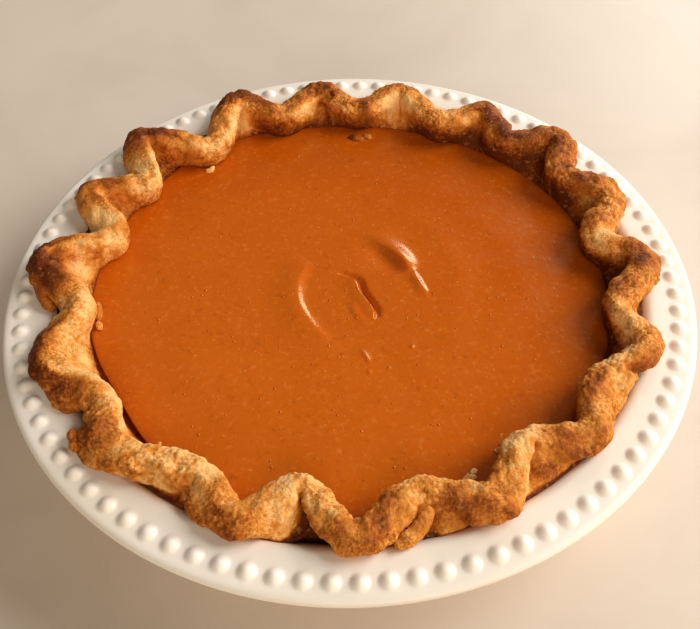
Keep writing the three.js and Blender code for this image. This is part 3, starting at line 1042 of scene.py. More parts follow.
@dataclass
class Crust:
    """Pastry lining with its fluted rope, as radii from the axis and heights from the rim's top.

    The lining follows the dish's wall up to its lip. In the dips the rope shrank away from the rim, so
    the lip shows there, sunk and darkened by painted shade under the rope. The well is the space inside
    that the filling takes up.
    """

    dish: Dish
    rope: Rope = field(default_factory=Rope)
    relief: DoughRelief = DoughRelief()
    steps: int = 1360
    gap: float = 0.4
    shoulder: float = 0.45
    foot_share: float = 0.8
    shrink: float = 3.1
    skirt_power: int = 4
    skirts: tuple[Skirt, ...] = (
        Skirt(206, 7, 127),
        Skirt(221, 5.2, 128.5),
        Skirt(256, 3, 119.6),
        Skirt(286.5, 3.5, 120),
        Skirt(306.5, 7, 118.9),
        Skirt(326, 4.5, 119.8),
    )
    dip_sink: float = 2.5
    lip_drop: float = 1.8
    # Painted shade on the lip and the lower outer side, under the rope that overhangs them.
    lip_shade: float = 1
    lip_shade_top: float = -0.2
    leaves_wall: float = 14
    lining_corner: float = 6
    lining_thickness: float = 5
    lining_radius: float = 88
    well_radius: float = 107
    well_bulge: float = 6
    well_azimuth: float = 125
    well_span: float = 22
    well_flare: float = 5
    flare_height: float = 0.2
    belly_height: float = -2.5
    belly_reach: float = 4
    filling_level: float = -5.5
    filling_depth: float = 1
    gap_rows: int = 5
    side_rows: int = 6
    top_rows: int = 20
    wall_rows: int = 14
    thick_swing: float = 0.08
    wander_scale: float = 7
    squeezes: tuple[Squeeze, ...] = (Squeeze(346, 3.4, 0.4), Squeeze(291, 6, -0.2))
    ramp_power: float = 1.35
    undercut: float = 0.4
    lean: float = 0.5
    outer_power: float = 1.4
    inner_power: float = 0.8
    lip_relief: float = 0.2
    foot_relief: float = 0.6
    wall_relief: Range = (0.9, 0.25)
    inner_bake: float = 0.1
    # Darkening of the inner wall above the filling, partly custard stain and partly painted shade, strongest
    # at an azimuth where the walls face away from the light.
    soak_and_shade: float = 0.54
    soak_and_shade_swing: float = 0.42
    soak_and_shade_azimuth: float = 35
    soak_and_shade_top: float = 9
    soak_and_shade_rise: float = 3
    # Painted shade along the filling's line, where the custard meets the wall.
    contact_shade: float = 0.4
    contact_shade_depth: float = 0.5
    lump_bake: float = 0.1
    # Painted shade in the pits and cracks of the relief, and paler dough on its raised crags.
    crag_shade: float = 0.4
    bake_width: float = 0.36
    # Painted shade in the creases, deeper where they are carved deeper.
    crease_shade: float = 0.1
    creases: tuple[Crease, ...] = (
        Crease(((260.3, 105.2, 9.3), (260.4, 107.2, 7.2), (260.7, 108.4, 5.9)), 3.4, 0.8, 1.2),
        Crease(
            ((260.6, 107.6, 6.2), (260.9, 111.2, 3.6), (261.9, 115, 0.6), (263.4, 118.5, -2)),
            7.5, 1.3, 4.2,
        ),
        Crease(((306.2, 108.1, 7.4), (305.3, 109.9, 5), (303.5, 112.8, 4), (302.4, 116.5, 1)), 3.4, 0.9, 2),
        Crease(((279.3, 115.6, 8), (278.1, 117.5, 7.7), (276.8, 119.8, 7), (275.7, 122.4, 5)), 2.6, 1.1, 1.2),
        Crease(((282.4, 114.9, 5.6), (282.9, 116.1, 0.6)), 1.8, 1, 1),
        Crease(((180, 123.3, 9.5), (183.4, 120.6, 7), (187.3, 118.4, 4)), 2.6, 1, 1.3),
        Crease(((332, 117.5, 9), (333, 121, 6), (333.6, 122.5, 1)), 3.4, 1.8, 2.8),
        Crease(((340.5, 119.5, 9), (339.5, 117.5, 9.2), (338, 115, 9)), 1.3, 0.9, 0.9),
        Crease(((211, 112, 8.5), (212, 116, 6), (212.5, 121, 0)), 1.8, 1, 1.8),
        Crease(((217.4, 121.5, 3), (219.6, 124, 5.5), (221.5, 125, 5)), 2, 1, 0.8),
        Crease(((238.5, 117, 0), (239.9, 116, 2.5), (240.6, 114.2, 4.5), (241.6, 112.2, 6.5)), 1.8, 1.6, 1),
        Crease(((290.4, 114.5, 8), (289.6, 117, 5), (288.9, 119, 1)), 2, 1, 1.8),
        Crease(((213.6, 121, 1), (215.4, 122, 3.5), (217.2, 122.6, 5)), 4.4, 2.4, 1.8),
        Crease(((76.5, 116, 9), (76, 112, 2), (76, 108, -6)), 1.3, 0.8, 1),
        Crease(((73.6, 115.5, 9), (73.4, 111.5, 2), (73.2, 108, -6)), 1.1, 0.7, 0.9),
    )
    # Spots of real browning and of painted shade and light, among them painted shade in the hollow at 262
    # degrees and painted light on the shaded wall at 339.5 degrees.
    bake_and_shade_spots: tuple[BakeAndShadeSpot, ...] = (
        BakeAndShadeSpot((0, 114.5, 8.5), 6, 0.5),
        BakeAndShadeSpot((7, 109, 9.5), 5, -0.5),
        BakeAndShadeSpot((9, 105, 2), 6, 0.4),
        BakeAndShadeSpot((11.5, 104, 9), 5, 0.3),
        BakeAndShadeSpot((20, 122, 9), 6, -0.2),
        BakeAndShadeSpot((20.5, 112.5, 2), 6, -0.8),
        BakeAndShadeSpot((23.5, 114, 8.5), 5, 0.35),
        BakeAndShadeSpot((28.5, 110, 8), 10, 0.35),
        BakeAndShadeSpot((35.5, 120, 10), 6, 0.3),
        BakeAndShadeSpot((42.5, 115, 10), 5, 0.25),
        BakeAndShadeSpot((47, 110, 7.5), 10, 0.5),
        BakeAndShadeSpot((54, 116, 9), 7, 0.4),
        BakeAndShadeSpot((61, 104.5, 6), 6, 0.3),
        BakeAndShadeSpot((62.5, 109, 9), 4, -0.25),
        BakeAndShadeSpot((65.5, 102, 5), 7, 0.35),
        BakeAndShadeSpot((77, 110.5, 0), 9, -0.7),
        BakeAndShadeSpot((82, 106.5, -4), 4, -0.25),
        BakeAndShadeSpot((85, 105.5, 8), 8, 0.45),
        BakeAndShadeSpot((95, 114, 8.5), 6, 0.45),
        BakeAndShadeSpot((98, 109.5, 1), 6, -0.35),
        BakeAndShadeSpot((106, 102.5, 4.5), 6.5, 0.35),
        BakeAndShadeSpot((107, 110, 10), 5, -0.35),
        BakeAndShadeSpot((111, 109, 5), 8, 0.45),
        BakeAndShadeSpot((115.3, 114, -2), 5, -0.8),
        BakeAndShadeSpot((119, 117, 12.5), 4, -0.3),
        BakeAndShadeSpot((121, 108, 8), 7, -0.2),
        BakeAndShadeSpot((124.5, 100.5, -1), 4, -0.25),
        BakeAndShadeSpot((132, 111, 10.5), 4, -0.25),
        BakeAndShadeSpot((136, 118, 11), 8, 0.22),
        BakeAndShadeSpot((137, 114.5, 6), 7, 0.3),
        BakeAndShadeSpot((144, 111, 10.5), 6, -0.5),
        BakeAndShadeSpot((155, 113.5, 6), 8, 0.35),
        BakeAndShadeSpot((163, 108.5, 9), 4, -0.2),
        BakeAndShadeSpot((164.5, 98, 6.5), 5, 0.45),
        BakeAndShadeSpot((172.5, 107, 5), 6, 0.25),
        BakeAndShadeSpot((176, 112.5, 2), 5.5, -0.45),
        BakeAndShadeSpot((177, 121, 9.5), 6.5, 0.6),
        BakeAndShadeSpot((179.5, 119, 11), 7, 0.45),
        BakeAndShadeSpot((183, 119, 8), 6, 0.45),
        BakeAndShadeSpot((186.5, 112, 9.5), 6, 0.3),
        BakeAndShadeSpot((195, 113, 8), 8, 0.2),
        BakeAndShadeSpot((199.5, 121, 10), 6, 0.35),
        BakeAndShadeSpot((200.5, 108.5, -4), 5, -0.3),
        BakeAndShadeSpot((210, 121, 5), 8, 0.35),
        BakeAndShadeSpot((210.5, 110.5, 9.7), 4, -0.2),
        BakeAndShadeSpot((214, 115, 8), 5, 0.2),
        BakeAndShadeSpot((217, 108, 8), 6, -0.18),
        BakeAndShadeSpot((219, 107.5, 0), 6, -0.4),
        BakeAndShadeSpot((219.5, 121, 8), 7, 0.3),
        BakeAndShadeSpot((228.5, 114.5, 9.5), 6, -0.3),
        BakeAndShadeSpot((230, 120, 7), 5, 0.25),
        BakeAndShadeSpot((239.5, 114.5, 5.5), 6, 0.4),
        BakeAndShadeSpot((247.5, 121.5, 6.5), 8, 0.45),
        BakeAndShadeSpot((249, 114, 9), 7, -0.2),
        BakeAndShadeSpot((256, 117, 6), 5, 0.15),
        BakeAndShadeSpot((261, 110, 4.6), 2.2, 0.5),
        BakeAndShadeSpot((262.6, 115.5, 0), 4, 0.8),
        BakeAndShadeSpot((265.5, 118, 7), 6, 0.3),
        BakeAndShadeSpot((266.5, 113.5, 9.8), 4, -0.35),
        BakeAndShadeSpot((274.5, 115.5, 8.5), 4, 0.3),
        BakeAndShadeSpot((280.5, 112.5, 6), 5, -0.2),
        BakeAndShadeSpot((284, 114, 3), 4, 0.4),
        BakeAndShadeSpot((288, 112, 7.5), 6, 0.35),
        BakeAndShadeSpot((289, 119.5, 6), 5, 0.25),
        BakeAndShadeSpot((291.5, 110.5, 8), 4, -0.4),
        BakeAndShadeSpot((293.5, 121.5, 7.5), 5, 0.2),
        BakeAndShadeSpot((299.5, 119, 6), 5, -0.2),
        BakeAndShadeSpot((303, 104, 8), 6, -0.25),
        BakeAndShadeSpot((305.5, 117, 1.5), 5, 0.45),
        BakeAndShadeSpot((311, 116, 6.5), 8, 0.35),
        BakeAndShadeSpot((314.5, 111, 8), 4, -0.5),
        BakeAndShadeSpot((318, 117, 8.5), 6, -0.25),
        BakeAndShadeSpot((324.5, 107, 8), 6, 0.25),
        BakeAndShadeSpot((329, 117, 5), 6, -0.25),
        BakeAndShadeSpot((333, 110, 8.5), 4, -0.3),
        BakeAndShadeSpot((334.8, 121.5, 7), 5, 0.35),
        BakeAndShadeSpot((337, 115, 9), 5, -0.3),
        BakeAndShadeSpot((339.5, 112, 2), 5, -0.5),
        BakeAndShadeSpot((343, 113, 9), 6, -0.25),
        BakeAndShadeSpot((347.5, 103.5, 2), 5, 0.35),
        BakeAndShadeSpot((352, 107.5, 8.5), 6, 0.5),
    )

    def half_thickness(self, azimuth: Array) -> Array:
        """Half thickness of the rope, which swells and narrows as the hand left it.

        Args:
            azimuth: Azimuths in radians.

        Returns:
            The half thicknesses.
        """
        swing = [noise.noise(polar(math.degrees(turn), self.wander_scale, 0)) for turn in azimuth]
        share = 1 + self.thick_swing * np.array(swing)
        for squeeze in self.squeezes:
            share -= squeeze.loss * bell(azimuth, squeeze.azimuth, squeeze.span)
        return self.rope.half * share

    def well_limit(self, azimuth: Array) -> Array:
        """Widest reach of the filling, which goes deep into the flutes at the back left."""
        return self.well_radius + self.well_bulge * bell(azimuth, self.well_azimuth, self.well_span)

    def well(self, azimuth: Array) -> Array:
        """Radius where the crust's inner face meets the filling, under the rope's inner bends."""
        face = self.rope.reach(azimuth, self.rope.half * self.undercut, Side.INNER)
        return np.minimum(face, self.well_limit(azimuth))

    def run(self, azimuth: Array) -> RopeRun:
        """Measures of the rope round the pie.

        Args:
            azimuth: Azimuths in radians.

        Returns:
            The measures at those azimuths.
        """
        rope, dish = self.rope, self.dish
        line, top = rope.line(azimuth)[:2]
        dip_foot = dish.opening_radius - self.shrink
        clear_of_beads = dish.bead_ring_radius - dish.bead_radius
        foot = rope.reach(azimuth, rope.half * self.foot_share, Side.OUTER).clip(dip_foot, clear_of_beads)
        for skirt in self.skirts:
            spread = bell(azimuth, skirt.azimuth, skirt.span, self.skirt_power)
            foot = np.maximum(foot, lerp(foot, skirt.radius, spread))
        tucked = 1 - ease(dip_foot, dish.opening_radius, foot)
        foot_height = lerp(2 * self.gap, -self.dip_sink, tucked)
        return RopeRun(azimuth, line, top, self.half_thickness(azimuth), foot, foot_height, tucked)

    def bottom(self) -> float:
        """Height of the lining's underside, a narrow gap over the dish's floor."""
        return self.dish.floor_thickness - self.dish.height + self.gap

    def ramp(self, run: RopeRun, height: Array) -> Array:
        """Radius at a height of the slope from the rope's outer foot to its top."""
        share = (height - run.foot_height) / (run.top - run.foot_height)
        return lerp(run.foot, run.line - self.lean, share**self.ramp_power)

    def lining(self, run: RopeRun) -> list[Row]:
        """Rows of the underside, from its middle up the dish's wall to the lip.

        Args:
            run: The rope's measures.

        Returns:
            The rows.
        """
        dish, gap, bottom = self.dish, self.gap, self.bottom()
        lip = lerp(dish.opening_radius, dish.wall(dish.height - self.lip_drop), run.tucked) - gap
        lip_height = lerp(run.foot_height - gap, -self.lip_drop, run.tucked)
        leaves = dish.wall(dish.height - self.leaves_wall) - gap
        corner = dish.wall(dish.floor_thickness + self.lining_corner) - 2 * gap
        rows = [
            Row(0, bottom, 1, 0),
            Row(dish.floor_radius - dish.floor_round, bottom, 1, 0),
            Row(corner, bottom + self.lining_corner, 1, 0),
        ]
        for share in np.linspace(0, 1, self.gap_rows):
            height = lerp(-self.leaves_wall, lip_height, share)
            rows.append(Row(lerp(leaves, lip, share), height, 1, self.lip_relief * share))
        return rows

    def flank(self, run: RopeRun) -> list[Row]:
        """Rows up the rope's outer side, from its foot to its shoulder.

        Args:
            run: The rope's measures.

        Returns:
            The rows.
        """
        rows = []
        widest = self.rope.reach(run.azimuth, run.half, Side.OUTER)
        for share in np.linspace(0, 1, self.side_rows)[:-1]:
            height = lerp(run.foot_height, self.shoulder * run.top, share)
            bulge = lerp(run.foot, widest, math.sin(share * math.pi / 2))
            radius = np.maximum(bulge, self.ramp(run, height))
            rows.append(Row(radius, height, 1, lerp(self.foot_relief, 1, share)))
        return rows

    def crown(self, run: RopeRun) -> list[Row]:
        """Rows over the rope, from its outer shoulder to its inner one.

        Args:
            run: The rope's measures.

        Returns:
            The rows.
        """
        rows = []
        angles = np.linspace(0, math.pi / 2, self.top_rows)
        outer = Side.OUTER, angles[:-1], self.outer_power
        inner = Side.INNER, angles[::-1], self.inner_power
        for side, turns, power in (outer, inner):
            for turn in turns:
                half = np.maximum(run.half * math.cos(turn), self.gap / 10)
                radius = self.rope.reach(run.azimuth, half, side) - self.lean * math.sin(turn) ** 2
                height = run.top * lerp(self.shoulder, 1, math.sin(turn) ** power)
                if side is Side.OUTER:
                    radius = np.maximum(radius, self.ramp(run, height))
                rows.append(Row(radius, height, 0.5 + 0.5 * side.value * math.cos(turn), 1))
        return rows

    def inner_wall(self, run: RopeRun) -> list[Row]:
        """Rows down the rope's inner side to under the filling, then over the lining to its middle.

        Args:
            run: The rope's measures.

        Returns:
            The rows.
        """
        inner = self.rope.reach(run.azimuth, run.half, Side.INNER)
        flare = np.minimum(inner, self.well_limit(run.azimuth) + self.well_flare)
        well = self.well(run.azimuth)
        sunk = self.filling_level - self.filling_depth
        belly = lerp(self.flare_height * run.top, self.belly_height, ease(0, self.belly_reach, well - inner))
        rows = []
        for share in np.linspace(0, 1, self.wall_rows)[1:]:
            upper = lerp(inner, flare, share), lerp(self.shoulder * run.top, belly, share)
            lower = lerp(flare, well, share), lerp(belly, sunk, share)
            radius, height = lerp(upper[0], lower[0], share), lerp(upper[1], lower[1], share)
            rows.append(Row(radius, height, 0, lerp(*self.wall_relief, share)))
        floor = self.bottom() + self.lining_thickness
        return [*rows, Row(self.lining_radius, floor, 0, 0), Row(0, floor, 0, 0)]

    def rows(self, azimuth: Array) -> list[Row]:
        """Rows of the section from under the bottom, over the rope, to the inner floor."""
        run = self.run(azimuth)
        return [*self.lining(run), *self.flank(run), *self.crown(run), *self.inner_wall(run)]

    def toast_and_shade(self, azimuth: Array, across: Array, height: Array) -> Array:
        """Browning of each vertex, strongest on the outer side of the pinches, with painted shade added.

        The inner wall darkens above the filling, partly as a custard stain and partly as painted shade that
        is deepest where the walls face away from the light. Painted shade also lies along the filling's line
        and on the lip under the rope.

        Args:
            azimuth: Azimuths in radians, for each step.
            across: How far out across the rope each row lies.
            height: Height of each vertex.

        Returns:
            The browning, painted shade included, from 0 to 1, for each step and row.
        """
        baked, spread = self.rope.line(azimuth)[2:, :, None]
        outward = lerp(self.inner_bake, 1, ease(spread, spread + self.bake_width, across))
        # Partly custard stain and partly painted shade: the inner wall darkens above the filling, most where
        # the walls face away from the light.
        swing = np.cos(azimuth - math.radians(self.soak_and_shade_azimuth))[:, None]
        soak_and_shade_strength = self.soak_and_shade + self.soak_and_shade_swing * swing
        full = self.filling_level + self.soak_and_shade_rise
        soak_and_shade = soak_and_shade_strength * ease(self.soak_and_shade_top, full, height)
        # Painted shade along the filling's line, where the custard meets the wall.
        soak_and_shade += self.contact_shade * ease(full, self.filling_level - self.contact_shade_depth, height)
        # Painted shade on the lip and the lower outer side, under the overhanging rope.
        under = self.lip_shade * ease(self.lip_shade_top, -self.lip_drop, height)
        return np.clip(baked * outward + np.where(across < 0.5, soak_and_shade, under), 0, 1)

    def build(self) -> bmesh.types.BMesh:
        """Mesh of the crust with its crags and creases.

        Returns:
            The closed mesh, with its browning and painted shade in the layer toast.
        """
        turns = azimuths(self.steps)
        rows = self.rows(turns)
        section = section_of([(row.radius, row.height) for row in rows], self.steps)
        across = np.array([row.across for row in rows])
        strength = np.array([row.relief for row in rows])
        radius, height = section[..., 0], section[..., 1]
        east, north = np.cos(turns)[:, None], np.sin(turns)[:, None]
        points = np.stack([radius * east, radius * north, height], axis=-1)
        carved = sum(crease.carve(points) for crease in self.creases)
        # Browning plus painted shade: the creases are painted darker the deeper they are carved.
        toasted = self.toast_and_shade(turns, across, height) + self.crease_shade * carved
        # Spots of browning, painted shade and painted light.
        toasted += sum(bake_and_shade_spot.tone(points) for bake_and_shade_spot in self.bake_and_shade_spots)
        outward = 2 * across - 1
        section -= np.stack([carved * outward, carved * np.sqrt(1 - outward**2)], axis=-1)
        layers = {"toast_and_shade": toasted, "relief": np.broadcast_to(strength, height.shape)}
        bm = wrapped_skin(section, layers)
        toast_and_shade, relief = (bm.verts.layers.float[name] for name in ("toast_and_shade", "relief"))
        for vert in bm.verts:
            if vert[relief] > 0:
                lump, crag = self.relief.broad(vert.co), self.relief.fine(vert.co)
                # Raised lumps brown more; painted shade darkens the pits and cracks, and the raised crags are
                # painted paler.
                vert[toast_and_shade] += self.lump_bake * lump - self.crag_shade * crag
                vert.co += vert.normal * (vert[relief] * (lump + crag))
        bm.verts.layers.float.remove(relief)
        return bm

    def dress(self, finish: bpy.types.Material) -> bpy.types.Object:
        """Baked crust in place of its solid."""
        piece = place(self.build(), "fluted_crust", finish, Slot.PASTRY, self.dish.height)
        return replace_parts(piece, "crust")


@dataclass(frozen=True)
class Fold:
    """A loose end of dough pressed against the rope, along a path of azimuth, radius and height."""

    path: tuple[Spot, ...]
    radius: float
    flat: float
    bake: Bake = Bake.GOLDEN


@dataclass
class LooseFolds:
    """Loose ends and overlaps of dough on the rope's outer side."""

    dish: Dish
    relief: DoughRelief = DoughRelief(lump=(11, 0.4), knob=(4, 0.6), crack=(8, 0.3))
    stretches: int = 10
    steps: int = 28
    end_power: int = 4
    folds: tuple[Fold, ...] = (
        Fold(
            ((282.4, 110.5, 5.6), (282, 114.4, 4.4), (280.8, 117.2, 3.2), (278.8, 119.8, 2.4),
             (276.2, 122.4, 2)),
            3, 0.8, Bake.AMBER,
        ),
        Fold(((216.4, 124.2, 2.4), (218, 126.2, 3), (220.4, 127.6, 2.4)), 1.9, 1.1, Bake.BROWNED),
        Fold(
            ((179, 127.4, 4.2), (181.5, 126, 3.8), (185, 122.6, 2.6), (187.6, 118.8, 1.6)),
            2.5, 0.9, Bake.BROWNED,
        ),
        Fold(
            ((242.8, 113, 5), (241.9, 116, 3), (242.4, 118.2, 1.9), (244.3, 120, 1.3), (246.8, 121.4, 1.1)),
            2.8, 0.9, Bake.BROWNED,
        ),
        Fold(((327.6, 117.6, 1), (330.5, 117.8, 1.2), (333.4, 118.4, 1.4)), 2.2, 0.8),
    )

    def tube(self, fold: Fold) -> bmesh.types.BMesh:
        """One fold as a tube with rounded ends.

        Args:
            fold: The fold.

        Returns:
            The closed mesh, with its browning in the layer toast.
        """
        path = smooth_path([polar(*corner) for corner in fold.path], self.stretches)
        bm = rolled_grid(len(path), self.steps)
        layer = bm.verts.layers.float.new("toast_and_shade")
        for vert in bm.verts:
            row = round(vert.co.z)
            ahead = path[min(row + 1, len(path) - 1)] - path[max(row - 1, 0)]
            aside = ahead.cross(Vector((0, 0, 1))).normalized()
            up = aside.cross(ahead).normalized()
            half = fold.radius * (1 - abs(2 * row / (len(path) - 1) - 1) ** self.end_power) ** 0.5
            vert.co = path[row] + aside * (vert.co.x * half) + up * (vert.co.y * half * fold.flat)
            vert[layer] = fold.bake.value
        close_up(bm)
        for vert in bm.verts:
            vert.co += vert.normal * self.relief.depth(vert.co)
        return bm

    def build(self) -> bmesh.types.BMesh:
        """Mesh of all the folds.

        Returns:
            The closed meshes together, with their browning in the layer toast.
        """
        whole = bmesh.new()
        whole.verts.layers.float.new("toast_and_shade")
        for fold in self.folds:
            bm = self.tube(fold)
            scrap = bpy.data.meshes.new("fold")
            bm.to_mesh(scrap)
            bm.free()
            whole.from_mesh(scrap)
            bpy.data.meshes.remove(scrap)
        return whole

    def dress(self, finish: bpy.types.Material) -> bpy.types.Object:
        """Folds in the crust's finish."""
        piece = place(self.build(), "dough_folds", finish, Slot.PASTRY, self.dish.height)
        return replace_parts(piece, "crust")


@dataclass(frozen=True)
class Stroke:
    """One mark of the spoon along a line of places, with the widths of its slopes left and right of it.

    The peak is where it is highest along its line, and taper the share of the widths left at its end.
    """

    line: tuple[tuple[float, float], ...]
    height: float
    left: float
    right: float
    peak: float = 0.5
    taper: float = 1
    stretches: int = 4

    def relief(self, x: Array, y: Array) -> Array:
        """Height of the mark over the filling.

        Args:
            x: Places across the pie.
            y: Places towards its back.

        Returns:
            The heights.
        """
        path = smooth_path([Vector((*spot, 0)) for spot in self.line], self.stretches)
        away, ahead, along = nearest_on_path(np.stack([x, y, np.zeros_like(x)], axis=-1), path)
        on_left = ahead[..., 0] * away[..., 1] > ahead[..., 1] * away[..., 0]
        width = np.where(on_left, self.left, self.right) * lerp(1, self.taper, along)
        share = np.linalg.norm(away, axis=-1) / width
        swell = np.sin(np.pi * along ** (math.log(0.5) / math.log(self.peak)))
        return self.height * swell * np.exp(-(share**2))


@dataclass
class Filling:
    """Custard with a spoon swirl, as radii from the axis and heights from the rim's top.

    Its tone deepens near the edge, partly as a darker baked edge and partly as painted shade from the crust,
    over a width that swings round an azimuth; a tilt towards that azimuth adds painted shade across the whole
    top.
    """

    crust: Crust
    crown: float = 1
    edge_width: float = 2
    edge_drop: float = 0.7
    crown_share: float = 0.62
    overlap: float = 0.3
    pulled_gap: float = 3.8
    pulled_azimuth: float = 211
    pulled_span: float = 15
    steps: int = 640
    swirl_radius: float = 52
    swirl_rows: int = 112
    outer_rows: int = 26
    side_rows: int = 4
    lining_clearance: float = 0.8
    # The edge tone is partly a darker baked edge and partly painted shade; its swing and tilt towards an
    # azimuth are painted shade.
    edge_tone_and_shade_width: float = 40
    edge_shade_swing: float = 30
    edge_shade_tilt: float = 0.8
    edge_shade_azimuth: float = 45
    strokes: tuple[Stroke, ...] = (
        Stroke(
            ((-15.4, 13.2), (-19.2, 9.3), (-21.4, 3), (-21.8, -3.8), (-20.7, -10.4), (-17.7, -17.4),
             (-13.3, -24.4), (-8.5, -30.7), (-3.4, -36.8)),
            1.3, 2.5, 8, 0.42,
        ),
        Stroke(
            ((-7.7, 29.3), (1.1, 30.9), (5.5, 29.5), (9.8, 27.5), (14, 24.3), (18.2, 19.9), (22.2, 15),
             (24.9, 10.5), (26.4, 7.2)),
            2.4, 8.6, 5, 0.76, 0.35,
        ),
        Stroke(
            ((1.9, 26.5), (7.1, 23.9), (12.1, 20.1), (16.2, 15.2), (19.4, 10.4), (21.7, 6.2)),
            -1, 4, 8, 0.6, 0.7,
        ),
        Stroke(((26.6, 10.1), (27.8, 5.5), (29.1, 2), (30.3, -1.4), (31.5, -4.3), (32.5, -7.6)), 1, 1.3, 2.8),
        Stroke(((-4.2, 6), (2.2, 3.4), (4.8, -4.4), (9.6, -13.6), (9.4, -19.1)), 1, 0.45, 5, 0.6),
        Stroke(((-5, 7.4), (3.4, 4.2), (6.2, -3.7), (11, -13.4), (10.6, -18.8)), -2.3, 1.5, 0.6),
        Stroke(((0.7, -9.2), (2.9, -15.8), (6.4, -20.7)), 0.45, 1.8, 1.8),
        Stroke(((4.3, -33.6), (6.1, -37.4), (7.9, -41.6)), 0.45, 0.9, 1),
        Stroke(((6.7, -44.1), (7.8, -46.7)), 0.35, 0.9, 0.9),
        Stroke(((7.5, 48), (31.7, 37.1), (45.6, 13.3), (41.2, -18.8)), 0.3, 5, 5),
        Stroke(((19.3, 58.1), (46.5, 42), (59.9, 7.4), (47, -34.5)), -0.2, 6, 6),
        Stroke(((-12.6, -49.4), (9.9, -53), (35.1, -44.2)), 0.25, 3, 3),
        Stroke(((24, -32.6), (24.8, -34)), 0.5, 0.9, 0.9),
        Stroke(((14.4, -42.9), (15.2, -44.2)), 0.4, 0.8, 0.8),
    )

    def surface(self, x: Array, y: Array) -> Array:
        """Height of the filling's top, away from its edge.

        Args:
            x: Places across the pie.
            y: Places towards its back.

        Returns:
            The heights.
        """
        away = np.hypot(x, y)
        crown = self.crown * ease(self.crust.well_radius, self.crust.well_radius * self.crown_share, away)
        return self.crust.filling_level + crown + sum(stroke.relief(x, y) for stroke in self.strokes)

    def edge(self, azimuth: Array) -> Array:
        """Radius of the filling's edge, which clings to the crust except where it has pulled away."""
        pulled = self.pulled_gap * bell(azimuth, self.pulled_azimuth, self.pulled_span)
        return self.crust.well(azimuth) + self.overlap - pulled

    def build(self) -> bmesh.types.BMesh:
        """Mesh of the filling.

        Returns:
            The closed mesh, with the depth of its tone in the layer edge.
        """
        turns = azimuths(self.steps)
        edge = self.edge(turns)
        inner = edge - self.edge_width
        radii = [np.full(self.steps, self.swirl_radius * i / self.swirl_rows) for i in range(self.swirl_rows)]
        radii += [lerp(self.swirl_radius, inner, i / self.outer_rows) for i in range(self.outer_rows + 1)]
        heights = self.surface(np.stack(radii) * np.cos(turns), np.stack(radii) * np.sin(turns))
        rows = list(zip(radii[:-1], heights[:-1]))
        rim = heights[-1]
        for share in np.linspace(0, 1, self.side_rows):
            lean = share * math.pi / 2
            drop = self.edge_drop * (1 - math.cos(lean))
            rows.append((inner + self.edge_width * math.sin(lean), rim - drop))
        bottom = self.crust.dish.floor_thickness - self.crust.dish.height + self.crust.lining_thickness
        bottom += self.lining_clearance
        rows += [(self.crust.lining_radius - self.lining_clearance, bottom), (0, bottom)]
        section = section_of(rows, self.steps)
        # Painted shade: the tone's band widens towards one azimuth and a tilt darkens the whole top towards
        # it, on top of a darker baked edge.
        swing = np.cos(turns - math.radians(self.edge_shade_azimuth))[:, None]
        away = section[..., 0] / edge[:, None]
        width = (self.edge_tone_and_shade_width + self.edge_shade_swing * swing) / edge[:, None]
        tone_and_shade = ease(width, 0, 1 - away) + self.edge_shade_tilt * ease(-1, 1, swing * away)
        return wrapped_skin(section, {"edge": np.clip(tone_and_shade, 0, 1)})

    def dress(self, finish: bpy.types.Material) -> bpy.types.Object:
        """Custard in place of its solid."""
        piece = place(self.build(), "custard_filling", finish, Slot.CUSTARD, self.crust.dish.height)
        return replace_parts(piece, "filling")


@dataclass
class Bubbles:
    """Tiny domes that the oven raised in the custard's skin, most of them towards the front."""

    filling: Filling
    count: int = 260
    radius: Range = (0.18, 0.55)
    flat: float = 0.5
    reach: float = 92
    front_share: float = 0.75
    seed: int = 7

    def build(self) -> bmesh.types.BMesh:
        """Mesh of all the domes.

        Returns:
            The domes, each sunk to half its height in the custard.
        """
        draw = random.Random(self.seed)
        bm = bmesh.new()
        bm.verts.layers.float.new("edge")
        spots = []
        for _ in range(self.count):
            azimuth = draw.uniform(180, 360) if draw.random() < self.front_share else draw.uniform(0, 180)
            spots.append(polar(azimuth, self.reach * math.sqrt(draw.random()), 0))
        x, y, _ = np.array(spots).T
        for spot, height in zip(spots, self.filling.surface(x, y)):
            size = draw.uniform(*self.radius)
            spot.z = height
            pose = Matrix.Translation(spot) @ Matrix.Diagonal((size, size, size * self.flat, 1))
            bmesh.ops.create_icosphere(bm, subdivisions=1, radius=1, matrix=pose)
        return bm

    def dress(self, finish: bpy.types.Material) -> bpy.types.Object:
        """Domes in the custard's finish."""
        return place(self.build(), "custard_bubbles", finish, Slot.CUSTARD, self.filling.crust.dish.height)


@dataclass(frozen=True)
class Crumb:
    """A crumb or flake of pastry by its azimuth, radius, and length, width and thickness."""

    azimuth: float
    radius: float
    size: tuple[float, float, float]
    bake: Bake = Bake.GOLDEN
    lift: float = 0


